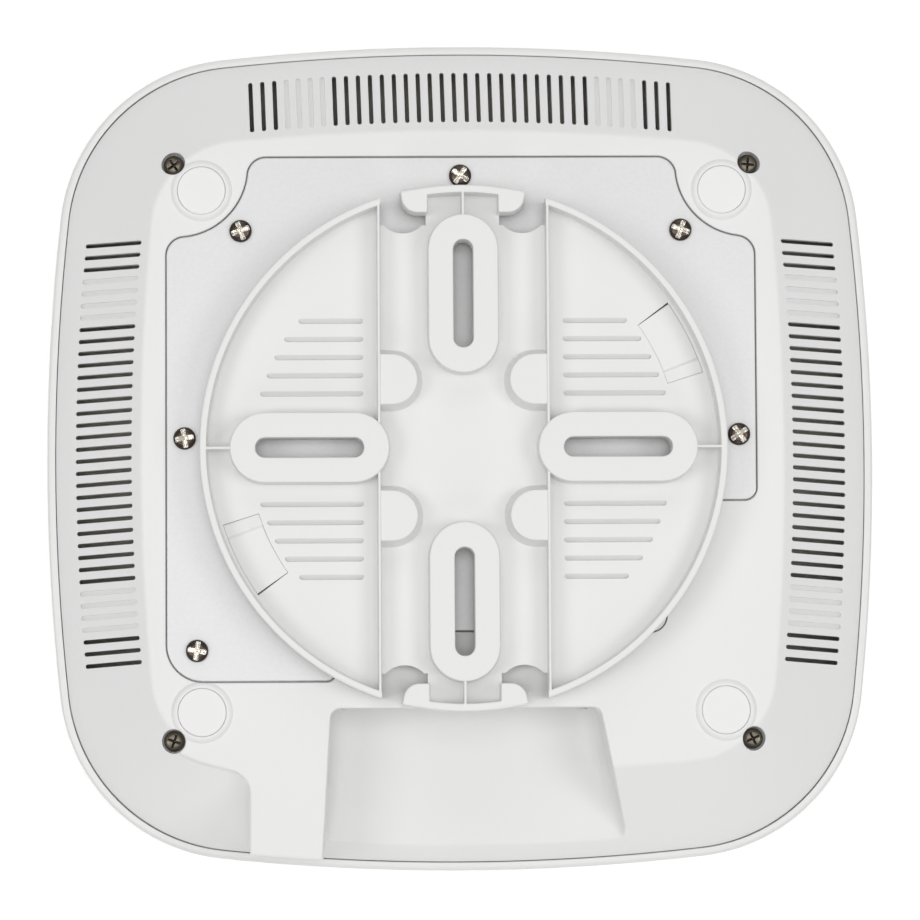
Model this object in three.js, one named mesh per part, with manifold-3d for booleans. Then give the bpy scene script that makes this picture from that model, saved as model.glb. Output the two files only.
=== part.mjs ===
// Ceiling access point with its twist-on ceiling bracket. Millimetres, +Z towards the ceiling.
// The origin is the centre of the bracket's ceiling face, and the cable recess opens towards -Y.
import * as THREE from "three";
import { mergeVertices } from "three/addons/utils/BufferGeometryUtils.js";
import Module from "manifold-3d";

// ---- driving dimensions -------------------------------------------------------------------
const GAP = 0.3;                    // clearance between neighbouring pieces

// rounded-square outlines: half width, radius of the bowed sides, radius of the corners
const COVER_OUTLINE = { half: 103.5, side: 550, corner: 45.3 };
const SEAM_OUTLINE = { half: 101.2, side: 546, corner: 43.5 };
const PLATEAU_OUTLINE = { half: 79, side: 605, corner: 22 };

// levels along Z
const PLATEAU_Z = -10.5;
const SEAM_Z = -34.4;
const HOUSING_END_Z = -36.5;
const FRONT_Z = -47;
const WALL = 2;

// metal plate let into the plateau
const PLATE_TOP_Z = -10.9;
const PLATE_THICK = 1.2;
const POCKET_Z = PLATE_TOP_Z - PLATE_THICK - GAP;
const POCKET_FLOOR = 2;

// cable recess with the port wall under an overhang
const RECESS_Z = -30;
const RECESS_BACK_Y = -63.4;
const PORT_WALL_Y = -61.1;
const PORT_SPAN = [-32.4, 33];

// vents: three rows of slots, with two blocked groups in each row
const VENT = { pitch: 2.97, width: 1.05, length: 13.4, row: 89.1, rowRadius: 550, lean: 3.3 };
const VENT_GROUPS = [[0, 3], [7, 29], [33, 36]];
const VENT_COUNT = 36;

// fasteners and feet
const CORNER_WELL = 71;
const WELL_RADIUS = 2.9;
const FOOT_PLACE = 64;
const FOOT_RADIUS = 5.6;
const PLATE_SCREWS = [[-54.4, 54], [53.8, 54.1], [-0.4, 67.6], [-68.2, 3], [67.8, 3.6], [-65.2, -49]];
const BOARD_SCREWS = [[-60, 40], [60, 40], [-60, -30], [60, -30]];
const PLATE_SCREW = { head: 2.75, height: 1.7, shank: 1.35, tip: -17.5 };
const CORNER_SCREW = { head: 2.55, height: 1.7, shank: 1.05, tip: -33 };
const BOARD_SCREW = { head: 2.6, height: 1.6, shank: 1.05, tip: -19 };
const WELL_FLOOR_Z = -17.8;
const FOOT_RING = { radius: 7, height: 0.3 };

// bosses inside the housing, and the levels at which they end
const WELL_BOSS = { radius: 4.5, end: -19.8 };
const FOOT_BOSS = { radius: 7.4, end: -14 };
const PLATE_BOSS = { radius: 3.2, end: -18.5 };

// openings in the floor of the plate's pocket: over the heat path, and above the sockets
const HEAT_OPENING = { x: [-36, 36], y: [-34, 38] };
const SOCKET_OPENING = { x: [-20.5, 15], y: [-47.5, -30] };

// bracket
const RING_RADIUS = 64.2;
const RING_WALL = 1.8;
const RIM_Z = -0.3;
const FLOOR_Z = -6;
const FLOOR_THICK = 1.6;
const UNDER_Z = FLOOR_Z - FLOOR_THICK;
const RING_END_Z = -10;
const CHORD_X = 20.6;
const RIB = 0.8;
const BOSS = { place: 37.5, length: 39, width: 17.3, slotLength: 26.3, slotWidth: 4.75 };
const PAD = { x: 17.4, y: 16.6, radius: 7.4, taper: 1.1, top: -0.6 };
const HOOK = { inner: 62.1, halfAngle: 13.9, earInner: 8.5, earOuter: 15.1, earFoot: 57.2, earRadius: 4 };
const NOTCH = { x: 14.6, y: 59.3, radius: 6.5 };
const CHANNEL_END = 54.8;

// bayonet: ledges inside the bracket's ring hold the lugs of the housing
const LEDGE = { inner: 59.4, top: -8.8, bottom: -9.9 };
const LUG = { inner: 56, post: 59, outer: 61.8, top: -7.9, headBottom: -8.5 };
const LEDGE_SPANS = [[-62, -44], [42, 58], [118, 136], [222, 238]];
const LUG_MARGIN = 2;               // degrees that a lug ends inside its ledge

// latch fingers
const FINGER = { inner: 52.4, outer: 61.5, start: 17.5, end: 35 };
const FINGER_GAP = 0.35;            // slit around a finger, in degrees and in mm
const FINGER_TURNS = [0, 180];

// electronics
const BOARD_TOP_Z = -26.2;
const BOARD_THICK = 1.6;
const ON_BOARD_Z = BOARD_TOP_Z + 0.1;
const BOARD_BOSS = { radius: 3, end: BOARD_TOP_Z + GAP };
const JACK = { width: 16, height: 13, depth: 21, face: -60.9 };
const JACK_PLACES = { ethernet_jack_left: -11.5, ethernet_jack_right: 6 };
const DC_JACK_X = 22;
const RESET_X = -24.6;

// ---- solid helpers --------------------------------------------------------------------------
const wasm = await Module();
wasm.setup();

function solid(geometry) {
  const bare = geometry.clone();
  bare.deleteAttribute("normal");
  bare.deleteAttribute("uv");
  const merged = mergeVertices(bare, 1e-4);
  return new wasm.Manifold(new wasm.Mesh({
    numProp: 3,
    vertProperties: new Float32Array(merged.attributes.position.array),
    triVerts: new Uint32Array(merged.index.array),
  }));
}

function geometryOf(body) {
  const mesh = body.getMesh();
  const geometry = new THREE.BufferGeometry();
  geometry.setAttribute("position", new THREE.BufferAttribute(mesh.vertProperties, 3));
  geometry.setIndex(new THREE.BufferAttribute(mesh.triVerts, 1));
  geometry.computeVertexNormals();
  return geometry;
}

const join = (...bodies) => bodies.reduce((whole, next) => whole.add(next));
const cut = (body, ...tools) => tools.reduce((whole, tool) => whole.subtract(tool), body);

// a prism of a shape between two levels
function prism(shape, bottom, top, curveSegments = 6) {
  const settings = { depth: top - bottom, bevelEnabled: false, curveSegments };
  const geometry = new THREE.ExtrudeGeometry(shape, settings);
  return solid(geometry.translate(0, 0, bottom));
}

function block(x, y, z) {
  const geometry = new THREE.BoxGeometry(x[1] - x[0], y[1] - y[0], z[1] - z[0]);
  geometry.translate((x[0] + x[1]) / 2, (y[0] + y[1]) / 2, (z[0] + z[1]) / 2);
  return solid(geometry);
}

function rod(radius, bottom, top, x = 0, y = 0, segments = 14) {
  const geometry = new THREE.CylinderGeometry(radius, radius, top - bottom, segments);
  geometry.rotateX(Math.PI / 2).translate(x, y, (bottom + top) / 2);
  return solid(geometry);
}

// a rod along Y, from the low to the high y
function rodY(radius, low, high, x, z, segments = 16) {
  const geometry = new THREE.CylinderGeometry(radius, radius, high - low, segments);
  return solid(geometry.translate(x, (low + high) / 2, z));
}

const polygon = (points) => new THREE.Shape(points.map(([x, y]) => new THREE.Vector2(x, y)));
const rad = THREE.MathUtils.degToRad;

// points along an arc about the origin, between two angles in degrees
function arc(radius, start, end, steps) {
  return Array.from({ length: steps + 1 }, (_, i) => {
    const angle = rad(start + (end - start) * i / steps);
    return [radius * Math.cos(angle), radius * Math.sin(angle)];
  });
}

// a stretch of a ring between two radii and two angles in degrees
function sector(inner, outer, start, end, steps = 4) {
  return polygon([...arc(outer, start, end, steps), ...arc(inner, end, start, steps)]);
}

// a bar with round ends, centred on the origin
function stadium(length, width, steps = 4) {
  const reach = (length - width) / 2;
  const shape = new THREE.Shape();
  shape.absarc(reach, 0, width / 2, -Math.PI / 2, Math.PI / 2);
  shape.absarc(-reach, 0, width / 2, Math.PI / 2, Math.PI * 1.5);
  return new THREE.Shape(shape.getPoints(steps));
}

const turned = (body, degrees) => body.rotate([0, 0, degrees]);

// ---- rounded squares ------------------------------------------------------------------------
const SIDE_STEPS = 6;
const CORNER_STEPS = 6;

// centre of the corner arc, so that it runs smoothly into the bowed sides
function cornerCentre({ half, side, corner }) {
  const shift = side - half;
  const reach = side - corner;
  return (-shift + Math.sqrt(2 * reach * reach - shift * shift)) / 2;
}

function roundedSquare(outline) {
  const { half, side, corner } = outline;
  const centre = cornerCentre(outline);
  const tilt = Math.atan2(centre, centre + side - half);
  const points = [];
  for (let quarter = 0; quarter < 4; quarter++) {
    const turn = new THREE.Vector2();
    const add = (x, y) => {
      turn.set(x, y).rotateAround(new THREE.Vector2(), quarter * Math.PI / 2);
      points.push(turn.clone());
    };
    for (let i = 0; i < SIDE_STEPS; i++) {
      const angle = -tilt + 2 * tilt * i / SIDE_STEPS;
      add(half - side + side * Math.cos(angle), side * Math.sin(angle));
    }
    for (let i = 0; i < CORNER_STEPS; i++) {
      const angle = tilt + (Math.PI / 2 - 2 * tilt) * i / CORNER_STEPS;
      add(centre + corner * Math.cos(angle), centre + corner * Math.sin(angle));
    }
  }
  return points;
}

const scaledOutline = (outline, half) => ({
  half,
  side: outline.side,
  corner: outline.corner - (outline.half - half),
});

// a solid through a stack of rounded squares, given from the lowest level up
function loft(levels) {
  const rings = levels.map(({ z, outline }) => roundedSquare(outline).map((p) => [p.x, p.y, z]));
  const count = rings[0].length;
  const positions = rings.flat(2);
  const index = [];
  for (let r = 0; r + 1 < rings.length; r++) {
    for (let i = 0; i < count; i++) {
      const next = (i + 1) % count;
      const [a, b, c, d] = [r * count + i, r * count + next, (r + 1) * count + next, (r + 1) * count + i];
      index.push(a, b, c, a, c, d);
    }
  }
  const lid = THREE.ShapeUtils.triangulateShape(roundedSquare(levels[0].outline), []);
  const last = (rings.length - 1) * count;
  for (const [a, b, c] of lid) {
    index.push(a, c, b, last + a, last + b, last + c);
  }
  const geometry = new THREE.BufferGeometry();
  geometry.setAttribute("position", new THREE.Float32BufferAttribute(positions, 3));
  geometry.setIndex(index);
  return solid(geometry);
}

// ---- materials and nodes ----------------------------------------------------------------------
const material = (color, roughness, metalness = 0) =>
  new THREE.MeshStandardMaterial({ color, roughness, metalness });
const WHITE = () => material(0xeeeeec, 0.45);
const SKIRT_WHITE = () => material(0xe6e6e4, 0.5);
const PAINTED_STEEL = () => material(0xd8d9da, 0.4, 0.5);
const DARK_STEEL = () => material(0x4a4340, 0.35, 0.9);
const RUBBER = () => material(0xeceae8, 0.8);
const BOARD_GREEN = () => material(0x1f5a3c, 0.6);
const TIN = () => material(0xb9bcc0, 0.3, 1);
const ALUMINIUM = () => material(0xc9ccd0, 0.35, 1);
const BLACK_PLASTIC = () => material(0x1b1b1d, 0.55);
const GREY_PAD = () => material(0x8f98a3, 0.8);
const CLEAR = () => material(0xf4f8fb, 0.1);

const group = new THREE.Group();

function node(name, body, finish) {
  const mesh = new THREE.Mesh(geometryOf(body), finish);
  mesh.name = name;
  group.add(mesh);
}

// ---- bracket --------------------------------------------------------------------------------
const RING_STEPS = 20;

// angle in degrees at which the ring meets the straight rib
const RING_END = THREE.MathUtils.radToDeg(Math.acos((CHORD_X - RIB / 2) / RING_RADIUS));

// U-shaped pad beside the straight rib, with tapered sides
function pad(sx, sy) {
  const { radius, taper, top } = PAD;
  const cone = new THREE.CylinderGeometry(radius - taper, radius, top - UNDER_Z, 16);
  cone.rotateX(Math.PI / 2).translate(sx * PAD.x, sy * PAD.y, (UNDER_Z + top) / 2);
  const side = new THREE.Shape();
  side.moveTo(-radius, UNDER_Z);
  side.lineTo(radius, UNDER_Z);
  side.lineTo(radius - taper, top);
  side.lineTo(taper - radius, top);
  const bar = new THREE.ExtrudeGeometry(side, { depth: CHORD_X - PAD.x, bevelEnabled: false });
  bar.rotateX(Math.PI / 2).rotateZ(Math.PI / 2).translate(sx > 0 ? PAD.x : -CHORD_X, sy * PAD.y, 0);
  return join(solid(cone), solid(bar)).intersect(block([-CHORD_X, CHORD_X], [-40, 40], [-20, 5]));
}

// round bite out of a corner of the channel's end, beside the hook's ear
function notch(sx, sy) {
  const bite = rod(NOTCH.radius, UNDER_Z - 1, 1, sx * NOTCH.x, sy * NOTCH.y);
  const inside = CHORD_X - RIB / 2;
  return bite.intersect(block([-inside, inside], [-HOOK.earFoot, HOOK.earFoot], [UNDER_Z - 2, 2]));
}

// four upright bars with round ends, set radially round the axis
function bosses(width, length, bottom, top) {
  const upright = prism(stadium(length, width), bottom, top);
  return [0, 90, 180, 270].map((turn) => turned(upright.translate([BOSS.place, 0, 0]), turn));
}

// the hook at the end of the centre channel, drawn for the +Y side
function hook() {
  const { inner, halfAngle, earInner, earOuter, earFoot, earRadius } = HOOK;
  const bar = prism(sector(inner, RING_RADIUS, 90 - halfAngle, 90 + halfAngle, 8), RING_END_Z, RIM_Z);
  const ears = [-1, 1].map((side) => {
    const ear = new THREE.Shape();
    ear.moveTo(side * earInner, inner);
    ear.lineTo(side * earInner, earFoot);
    ear.lineTo(side * (earOuter - earRadius), earFoot);
    ear.quadraticCurveTo(side * earOuter, earFoot, side * earOuter, earFoot + earRadius);
    ear.lineTo(side * earOuter, inner);
    return prism(ear, UNDER_Z, RIM_Z, 4);
  });
  const cup = block([-earInner - 0.5, earInner + 0.5], [CHANNEL_END - 2.8, inner + 0.5], [UNDER_Z, FLOOR_Z]);
  const rib = block([-RIB / 2, RIB / 2], [CHANNEL_END, inner + 0.5], [UNDER_Z, RIM_Z]);
  return join(bar, ...ears, cup, rib);
}

function mountingBracket() {
  const pan = prism(polygon(arc(RING_RADIUS, -RING_END, RING_END, RING_STEPS)), UNDER_Z, FLOOR_Z);
  const wall = prism(sector(RING_RADIUS - RING_WALL, RING_RADIUS, -RING_END, RING_END, RING_STEPS),
    RING_END_Z, RIM_Z);
  const chordEnd = Math.sqrt((RING_RADIUS - RING_WALL) ** 2 - CHORD_X ** 2);
  const chord = block([CHORD_X - RIB / 2, CHORD_X + RIB / 2], [-chordEnd, chordEnd], [UNDER_Z, RIM_Z]);
  const spoke = block([BOSS.place + 17, RING_RADIUS - 0.5], [-RIB / 2, RIB / 2], [UNDER_Z, RIM_Z]);
  const side = join(pan, wall, chord, spoke);
  const channel = block([-CHORD_X, CHORD_X], [-CHANNEL_END, CHANNEL_END], [UNDER_Z, FLOOR_Z]);
  let bracket = join(side, turned(side, 180), channel, hook(), turned(hook(), 180));

  // bosses and tapered pads stand on the floor
  bracket = join(bracket, ...bosses(BOSS.width, BOSS.length, UNDER_Z, 0));
  for (const [sx, sy] of [[1, 1], [-1, 1], [-1, -1], [1, -1]]) {
    bracket = cut(join(bracket, pad(sx, sy)), notch(sx, sy));
  }
  bracket = cut(bracket, ...bosses(BOSS.slotWidth, BOSS.slotLength, UNDER_Z - 1, 1));
  for (const turn of FINGER_TURNS) {
    const window = sector(FINGER.inner - FINGER_GAP, FINGER.outer + FINGER_GAP,
      FINGER.start - FINGER_GAP, FINGER.end + FINGER_GAP, 5);
    bracket = cut(bracket, turned(prism(window, UNDER_Z - 1, FLOOR_Z + 1), turn));
  }
  const ledges = LEDGE_SPANS.map(([start, end]) =>
    prism(sector(LEDGE.inner, RING_RADIUS - 1, start, end, 5), LEDGE.bottom, LEDGE.top));
  return join(bracket, ...ledges);
}

// a tongue with a detent bump under its free end
function latchFinger() {
  const tongue = prism(sector(FINGER.inner, FINGER.outer, FINGER.start, FINGER.end, 5), UNDER_Z, FLOOR_Z);
  const bump = prism(sector(54, 60, FINGER.end - 2, FINGER.end, 1), -10.4, UNDER_Z);
  return join(tongue, bump);
}

// ---- housing --------------------------------------------------------------------------------
// the recess widens a little towards the rim; grow moves its walls outwards
function recessShape(grow, backY) {
  return polygon([
    [PORT_SPAN[0] - grow, backY + grow],
    [PORT_SPAN[0] - 2.8 - grow, -110],
    [PORT_SPAN[1] + 11 + grow, -110],
    [PORT_SPAN[1] + 3 + grow, -78],
    [PORT_SPAN[1] + grow, backY + grow],
  ]);
}

// plateau-high tongue that runs out to the rim beside the recess
function extensionShape(inset) {
  const concave = new THREE.Shape();
  const left = -52.2 + inset;
  concave.moveTo(-62, -60);
  concave.lineTo(-62, -77.5 + inset);
  concave.quadraticCurveTo(left, -77.5 + inset, left, -85);
  concave.lineTo(left, -110);
  concave.lineTo(-31, -110);
  concave.lineTo(-31, -60);
  return concave;
}

function plateShape(grow) {
  const [left, right, top, bottom] = [-72.6 - grow, 72 + grow, 72.2 + grow, -56.5 - grow];
  const bite = 17.5 - grow;
  const shape = new THREE.Shape();
  shape.moveTo(-63, bottom);
  shape.lineTo(-32 + grow, bottom);
  shape.lineTo(-29 + grow, -44.4 - grow);
  shape.lineTo(30 + grow, -44.4 - grow);
  shape.lineTo(33 + grow, -12.5 - grow);
  shape.lineTo(right - 3, -12.5 - grow);
  shape.quadraticCurveTo(right, -12.5 - grow, right, -9.5);
  shape.lineTo(right, 70 - bite - 1);
  shape.absarc(70, 70, bite, Math.PI * 1.5, Math.PI, true);
  shape.lineTo(70 - bite - 1, top);
  shape.lineTo(-70 + bite + 1, top);
  shape.absarc(-70, 70, bite, 0, -Math.PI / 2, true);
  shape.lineTo(left, 70 - bite - 1);
  shape.lineTo(left, -48);
  shape.quadraticCurveTo(left, bottom, left + 9, bottom);
  return shape;
}

const outerHousing = () => loft([
  { z: HOUSING_END_Z, outline: SEAM_OUTLINE },
  { z: SEAM_Z, outline: SEAM_OUTLINE },
  { z: PLATEAU_Z, outline: PLATEAU_OUTLINE },
]);

const innerHousing = () => loft([
  { z: HOUSING_END_Z - 1, outline: scaledOutline(SEAM_OUTLINE, SEAM_OUTLINE.half - WALL) },
  { z: SEAM_Z - 0.6, outline: scaledOutline(SEAM_OUTLINE, SEAM_OUTLINE.half - WALL) },
  { z: PLATEAU_Z - WALL, outline: scaledOutline(PLATEAU_OUTLINE, PLATEAU_OUTLINE.half - 0.9) },
]);

// one row of open slots on the +Y side of the skirt
function ventRow() {
  const slots = [];
  for (const [first, last] of VENT_GROUPS) {
    for (let i = first; i < last; i++) {
      const fromMiddle = (i - (VENT_COUNT - 1) / 2) * VENT.pitch;
      const sagitta = fromMiddle * fromMiddle / (2 * VENT.rowRadius);
      const lean = VENT.lean * fromMiddle / ((VENT_COUNT - 1) / 2 * VENT.pitch);
      const slot = block([-VENT.width / 2, VENT.width / 2], [-VENT.length / 2, VENT.length / 2],
        [SEAM_Z + 3, PLATEAU_Z + 1]);
      slots.push(turned(slot, -lean).translate([fromMiddle, VENT.row - sagitta, 0]));
    }
  }
  return slots;
}

function bayonetLug([start, end]) {
  const from = start + LUG_MARGIN;
  const to = end - LUG_MARGIN;
  const post = prism(sector(LUG.inner, LUG.post, from, to, 3), POCKET_Z - 0.5, LUG.top);
  const head = prism(sector(LUG.post - 0.2, LUG.outer, from, to, 3), LUG.headBottom, LUG.top);
  return join(post, head);
}

const corners = (place) => [[-place, place], [place, place], [-place, -place], [place, -place]];

function rearHousing() {
  const seamPrism = prism(new THREE.Shape(roundedSquare(SEAM_OUTLINE)), SEAM_Z - 1, PLATEAU_Z);
  const extension = prism(extensionShape(0), SEAM_Z - 1, PLATEAU_Z).intersect(seamPrism);
  const extensionInside = prism(extensionShape(WALL), HOUSING_END_Z - 1, PLATEAU_Z - WALL)
    .intersect(prism(new THREE.Shape(roundedSquare(scaledOutline(SEAM_OUTLINE, SEAM_OUTLINE.half - WALL))),
      HOUSING_END_Z - 1, PLATEAU_Z - WALL));
  const outer = join(outerHousing(), extension);

  // the room inside, less the walls of the recess and the floor of the plate's pocket
  const recessWalls = join(
    prism(recessShape(WALL, PORT_WALL_Y), RECESS_Z - WALL, 0),
    prism(plateShape(WALL), POCKET_Z - POCKET_FLOOR, 0),
  );
  let inside = cut(join(innerHousing(), extensionInside), recessWalls);
  const standing = [[corners(CORNER_WELL), WELL_BOSS], [corners(FOOT_PLACE), FOOT_BOSS],
    [PLATE_SCREWS, PLATE_BOSS], [BOARD_SCREWS, BOARD_BOSS]];
  for (const [places, { radius, end }] of standing) {
    for (const [x, y] of places) inside = cut(inside, rod(radius, end, 0, x, y));
  }
  let housing = cut(outer, inside);

  // recess and its port wall
  housing = cut(housing,
    prism(recessShape(0, RECESS_BACK_Y), RECESS_Z, 0),
    prism(recessShape(0, PORT_WALL_Y), RECESS_Z, PLATEAU_Z - WALL));
  for (const x of Object.values(JACK_PLACES)) {
    const half = JACK.width / 2 + GAP;
    housing = cut(housing, block([x - half, x + half], [-63, -57],
      [ON_BOARD_Z - GAP, ON_BOARD_Z + JACK.height + 0.2]));
  }
  housing = cut(housing, rodY(3.9, -63, -57, DC_JACK_X, -20), rodY(1.6, -63, -57, RESET_X, -23.1, 12));

  // pocket of the metal plate, with an opening for the heat path and room above the jacks
  housing = cut(housing, prism(plateShape(GAP), POCKET_Z, 0),
    block(HEAT_OPENING.x, HEAT_OPENING.y, [-16, 0]),
    block(SOCKET_OPENING.x, SOCKET_OPENING.y, [-16, POCKET_Z + 0.1]));

  // feet, screws and raised foot rings
  for (const [x, y] of corners(FOOT_PLACE)) {
    housing = join(housing, rod(FOOT_RING.radius, PLATEAU_Z - 0.5, PLATEAU_Z + FOOT_RING.height, x, y));
    housing = cut(housing, rod(FOOT_RADIUS + 0.2, -12, 0, x, y));
  }
  for (const [x, y] of corners(CORNER_WELL)) {
    housing = cut(housing, rod(WELL_RADIUS, WELL_FLOOR_Z, 0, x, y), rod(1.7, -20, -17, x, y, 12));
  }
  for (const [x, y] of PLATE_SCREWS) housing = cut(housing, rod(1.65, -19, 0, x, y, 12));
  for (const [x, y] of BOARD_SCREWS) {
    housing = cut(housing, rod(1.35, BOARD_TOP_Z, -17, x, y, 10));
  }

  // vents on three sides
  const row = ventRow();
  for (const turn of [0, 90, -90]) {
    for (const slot of row) housing = cut(housing, turned(slot, turn));
  }
  return join(housing, ...LEDGE_SPANS.map(bayonetLug));
}

function metalPlate() {
  let plate = prism(plateShape(0), PLATE_TOP_Z - PLATE_THICK, PLATE_TOP_Z, 8);
  for (const [x, y] of PLATE_SCREWS) plate = cut(plate, rod(1.8, -13, -10, x, y, 12));
  for (const [start, end] of LEDGE_SPANS) {
    const hole = sector(LUG.inner - GAP, LUG.outer + GAP, start + 1, end - 1, 4);
    plate = cut(plate, prism(hole, -13, -10));
  }
  return plate;
}

function frontCover() {
  const level = (z, half) => ({ z, outline: scaledOutline(COVER_OUTLINE, half) });
  const shell = loft([level(FRONT_Z, 62), level(-46.6, 78), level(-45.4, 90), level(-43.4, 97.4),
    level(-40.6, 102), level(-37.6, 103.5), level(-35.2, 103.5), level(SEAM_Z - 0.1, 103)]);
  const room = loft([level(-45, 62), level(-44.6, 76), level(-43.4, 87.5), level(-41.6, 94.6),
    level(-39, 98.4), level(HOUSING_END_Z - GAP - 0.1, 99.2), level(-34, 99.2)]);
  const socket = prism(new THREE.Shape(roundedSquare(scaledOutline(SEAM_OUTLINE, 101.6))),
    HOUSING_END_Z - GAP, -34);
  let cover = cut(shell, room, socket);
  for (const [x, y] of corners(CORNER_WELL)) {
    cover = cut(join(cover, rod(3.8, -45, -20.1, x, y, 14)), rod(1.35, -36, -20, x, y, 10));
  }
  return cut(cover, rod(1.8, -48, -44, 0, 40, 14));
}

// ---- fasteners --------------------------------------------------------------------------------
// pan-head screw with its head's underside at seat; tip is where its shank ends
function screw(seat, { head, height, shank, tip }, up = 1) {
  const profile = [[0, tip - seat], [shank, tip - seat], [shank, 0], [head, 0],
    [head, up * height * 0.45], [head * 0.55, up * height], [0, up * height]];
  const points = profile.map(([r, z]) => new THREE.Vector2(r, z));
  if (up < 0) points.reverse();
  const geometry = new THREE.LatheGeometry(points, 9);
  return solid(geometry.rotateX(Math.PI / 2)).translate([0, 0, seat]);
}

// ---- assembly ---------------------------------------------------------------------------------
node("mounting_bracket", mountingBracket(), WHITE());
node("latch_finger_right", turned(latchFinger(), FINGER_TURNS[0]), WHITE());
node("latch_finger_left", turned(latchFinger(), FINGER_TURNS[1]), WHITE());
node("rear_housing", rearHousing(), SKIRT_WHITE());
node("metal_plate", metalPlate(), PAINTED_STEEL());
node("front_cover", frontCover(), WHITE());

for (const [i, [x, y]] of PLATE_SCREWS.entries()) {
  const body = screw(PLATE_TOP_Z + 0.1, PLATE_SCREW);
  node(`plate_screw_${i + 1}`, body.translate([x, y, 0]), DARK_STEEL());
}
for (const [i, [x, y]] of corners(CORNER_WELL).entries()) {
  const body = screw(WELL_FLOOR_Z + 0.2, CORNER_SCREW);
  node(`corner_screw_${i + 1}`, body.translate([x, y, 0]), DARK_STEEL());
}
for (const [i, [x, y]] of corners(FOOT_PLACE).entries()) {
  node(`rubber_foot_${i + 1}`, rod(FOOT_RADIUS, -11.8, -10, x, y), RUBBER());
}

// circuit board and what stands on it
let board = block([-66, 66], [-58.6, 62], [BOARD_TOP_Z - BOARD_THICK, BOARD_TOP_Z]);
for (const [x, y] of BOARD_SCREWS) board = cut(board, rod(1.6, -29, -25, x, y, 12));
node("main_board", board, BOARD_GREEN());
for (const [i, [x, y]] of BOARD_SCREWS.entries()) {
  const body = screw(BOARD_TOP_Z - BOARD_THICK - 0.1, BOARD_SCREW, -1);
  node(`board_screw_${i + 1}`, body.translate([x, y, 0]), DARK_STEEL());
}
const onBoard = (x, y, height) => block(x, y, [ON_BOARD_Z, ON_BOARD_Z + height]);
node("processor_shield", onBoard([-18, 18], [-14, 22], 2.8), TIN());
node("radio_shield_left", onBoard([-52, -24], [4, 34], 2.8), TIN());
node("radio_shield_right", onBoard([24, 52], [14, 34], 2.8), TIN());
node("lower_thermal_pad", block([-15, 15], [-11, 19], [-23.2, -22.3]), GREY_PAD());
let heatsink = block([-22, 22], [-18, 26], [-22.2, -13.4]);
for (const y of [-11, -3, 5, 13, 21]) {
  heatsink = cut(heatsink, block([-24, -18], [y - 1.5, y + 1.5], [-20, -12]),
    block([18, 24], [y - 1.5, y + 1.5], [-20, -12]));
}
node("heatsink_block", heatsink, ALUMINIUM());
node("upper_thermal_pad", block([-17, 17], [-17, 25], [-13.3, -12.3]), GREY_PAD());
for (const [name, x] of Object.entries(JACK_PLACES)) {
  const half = JACK.width / 2;
  const shell = onBoard([x - half, x + half], [JACK.face, JACK.face + JACK.depth], JACK.height);
  const mouth = block([x - 6, x + 6], [JACK.face - 1, JACK.face + 14],
    [ON_BOARD_Z + 2.4, ON_BOARD_Z + 10.9]);
  node(name, cut(shell, mouth), TIN());
}
const dcBox = onBoard([DC_JACK_X - 4.6, DC_JACK_X + 4.6], [-58.8, -44.8], 11);
const dcMouth = cut(rodY(3.2, -60, -49.8, DC_JACK_X, -20), rodY(1, -61, -49, DC_JACK_X, -20, 10));
node("dc_jack", cut(dcBox, dcMouth), BLACK_PLASTIC());
node("reset_switch", cut(onBoard([RESET_X - 3, RESET_X + 3], [-56.8, -53.3], 6),
  rodY(1.55, -57, -54.8, RESET_X, -23.1, 12)), BLACK_PLASTIC());
node("reset_button", rodY(1.2, -60.4, -55.8, RESET_X, -23.1, 12), BLACK_PLASTIC());
node("power_transformer", onBoard([28, 48], [-38, -20], 10.6), BLACK_PLASTIC());
node("power_inductor", onBoard([28, 40], [-14, -2], 6), BLACK_PLASTIC());
for (const [i, y] of [-34, -20, -6].entries()) {
  node(`capacitor_${i + 1}`, rod(4, ON_BOARD_Z, ON_BOARD_Z + 10.6, -46, y, 16), TIN());
}

// stamped antennas stand on the inside of the front cover, outside the board
function antenna() {
  const foot = block([-16, 16], [70, 78], [-32.4, -31.4]);
  const upright = block([-16, 16], [77, 78], [-32.4, -22]);
  const post = block([-3, 3], [72, 75], [-44.4, -31.4]);
  return join(foot, upright, post);
}
node("antenna_top_left", antenna().translate([-36, 0, 0]), TIN());
node("antenna_top_right", antenna().translate([36, 0, 0]), TIN());
node("antenna_left", turned(antenna(), 90), TIN());
node("antenna_right", turned(antenna(), -90), TIN());
node("status_led", block([-1, 1], [39.2, 40.8], [-29, -27.9]), CLEAR());
node("light_pipe", rod(1.5, -46.8, -29.3, 0, 40, 14), CLEAR());

export default group;
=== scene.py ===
"""A ceiling access point lying on its front, with its twist-on ceiling bracket facing up."""

import math

import bpy
import numpy as np
from mathutils import Euler, Matrix, Vector
from mathutils.geometry import delaunay_2d_cdt


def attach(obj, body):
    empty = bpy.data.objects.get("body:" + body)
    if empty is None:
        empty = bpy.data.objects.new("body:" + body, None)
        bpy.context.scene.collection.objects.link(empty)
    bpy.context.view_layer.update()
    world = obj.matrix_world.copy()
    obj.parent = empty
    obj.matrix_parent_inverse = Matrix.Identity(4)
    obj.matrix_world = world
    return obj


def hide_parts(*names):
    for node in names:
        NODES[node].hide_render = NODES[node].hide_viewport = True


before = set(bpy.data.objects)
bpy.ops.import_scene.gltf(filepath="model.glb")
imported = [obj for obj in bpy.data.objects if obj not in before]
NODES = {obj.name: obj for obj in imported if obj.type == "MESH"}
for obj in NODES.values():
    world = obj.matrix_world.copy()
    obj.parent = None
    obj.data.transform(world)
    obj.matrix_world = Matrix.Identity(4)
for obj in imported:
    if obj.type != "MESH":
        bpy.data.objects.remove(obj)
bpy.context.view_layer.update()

# ---- driving dimensions, in millimetres in the CAD frame -----------------------------------------
MM = 0.001
GAP = 0.3

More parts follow.
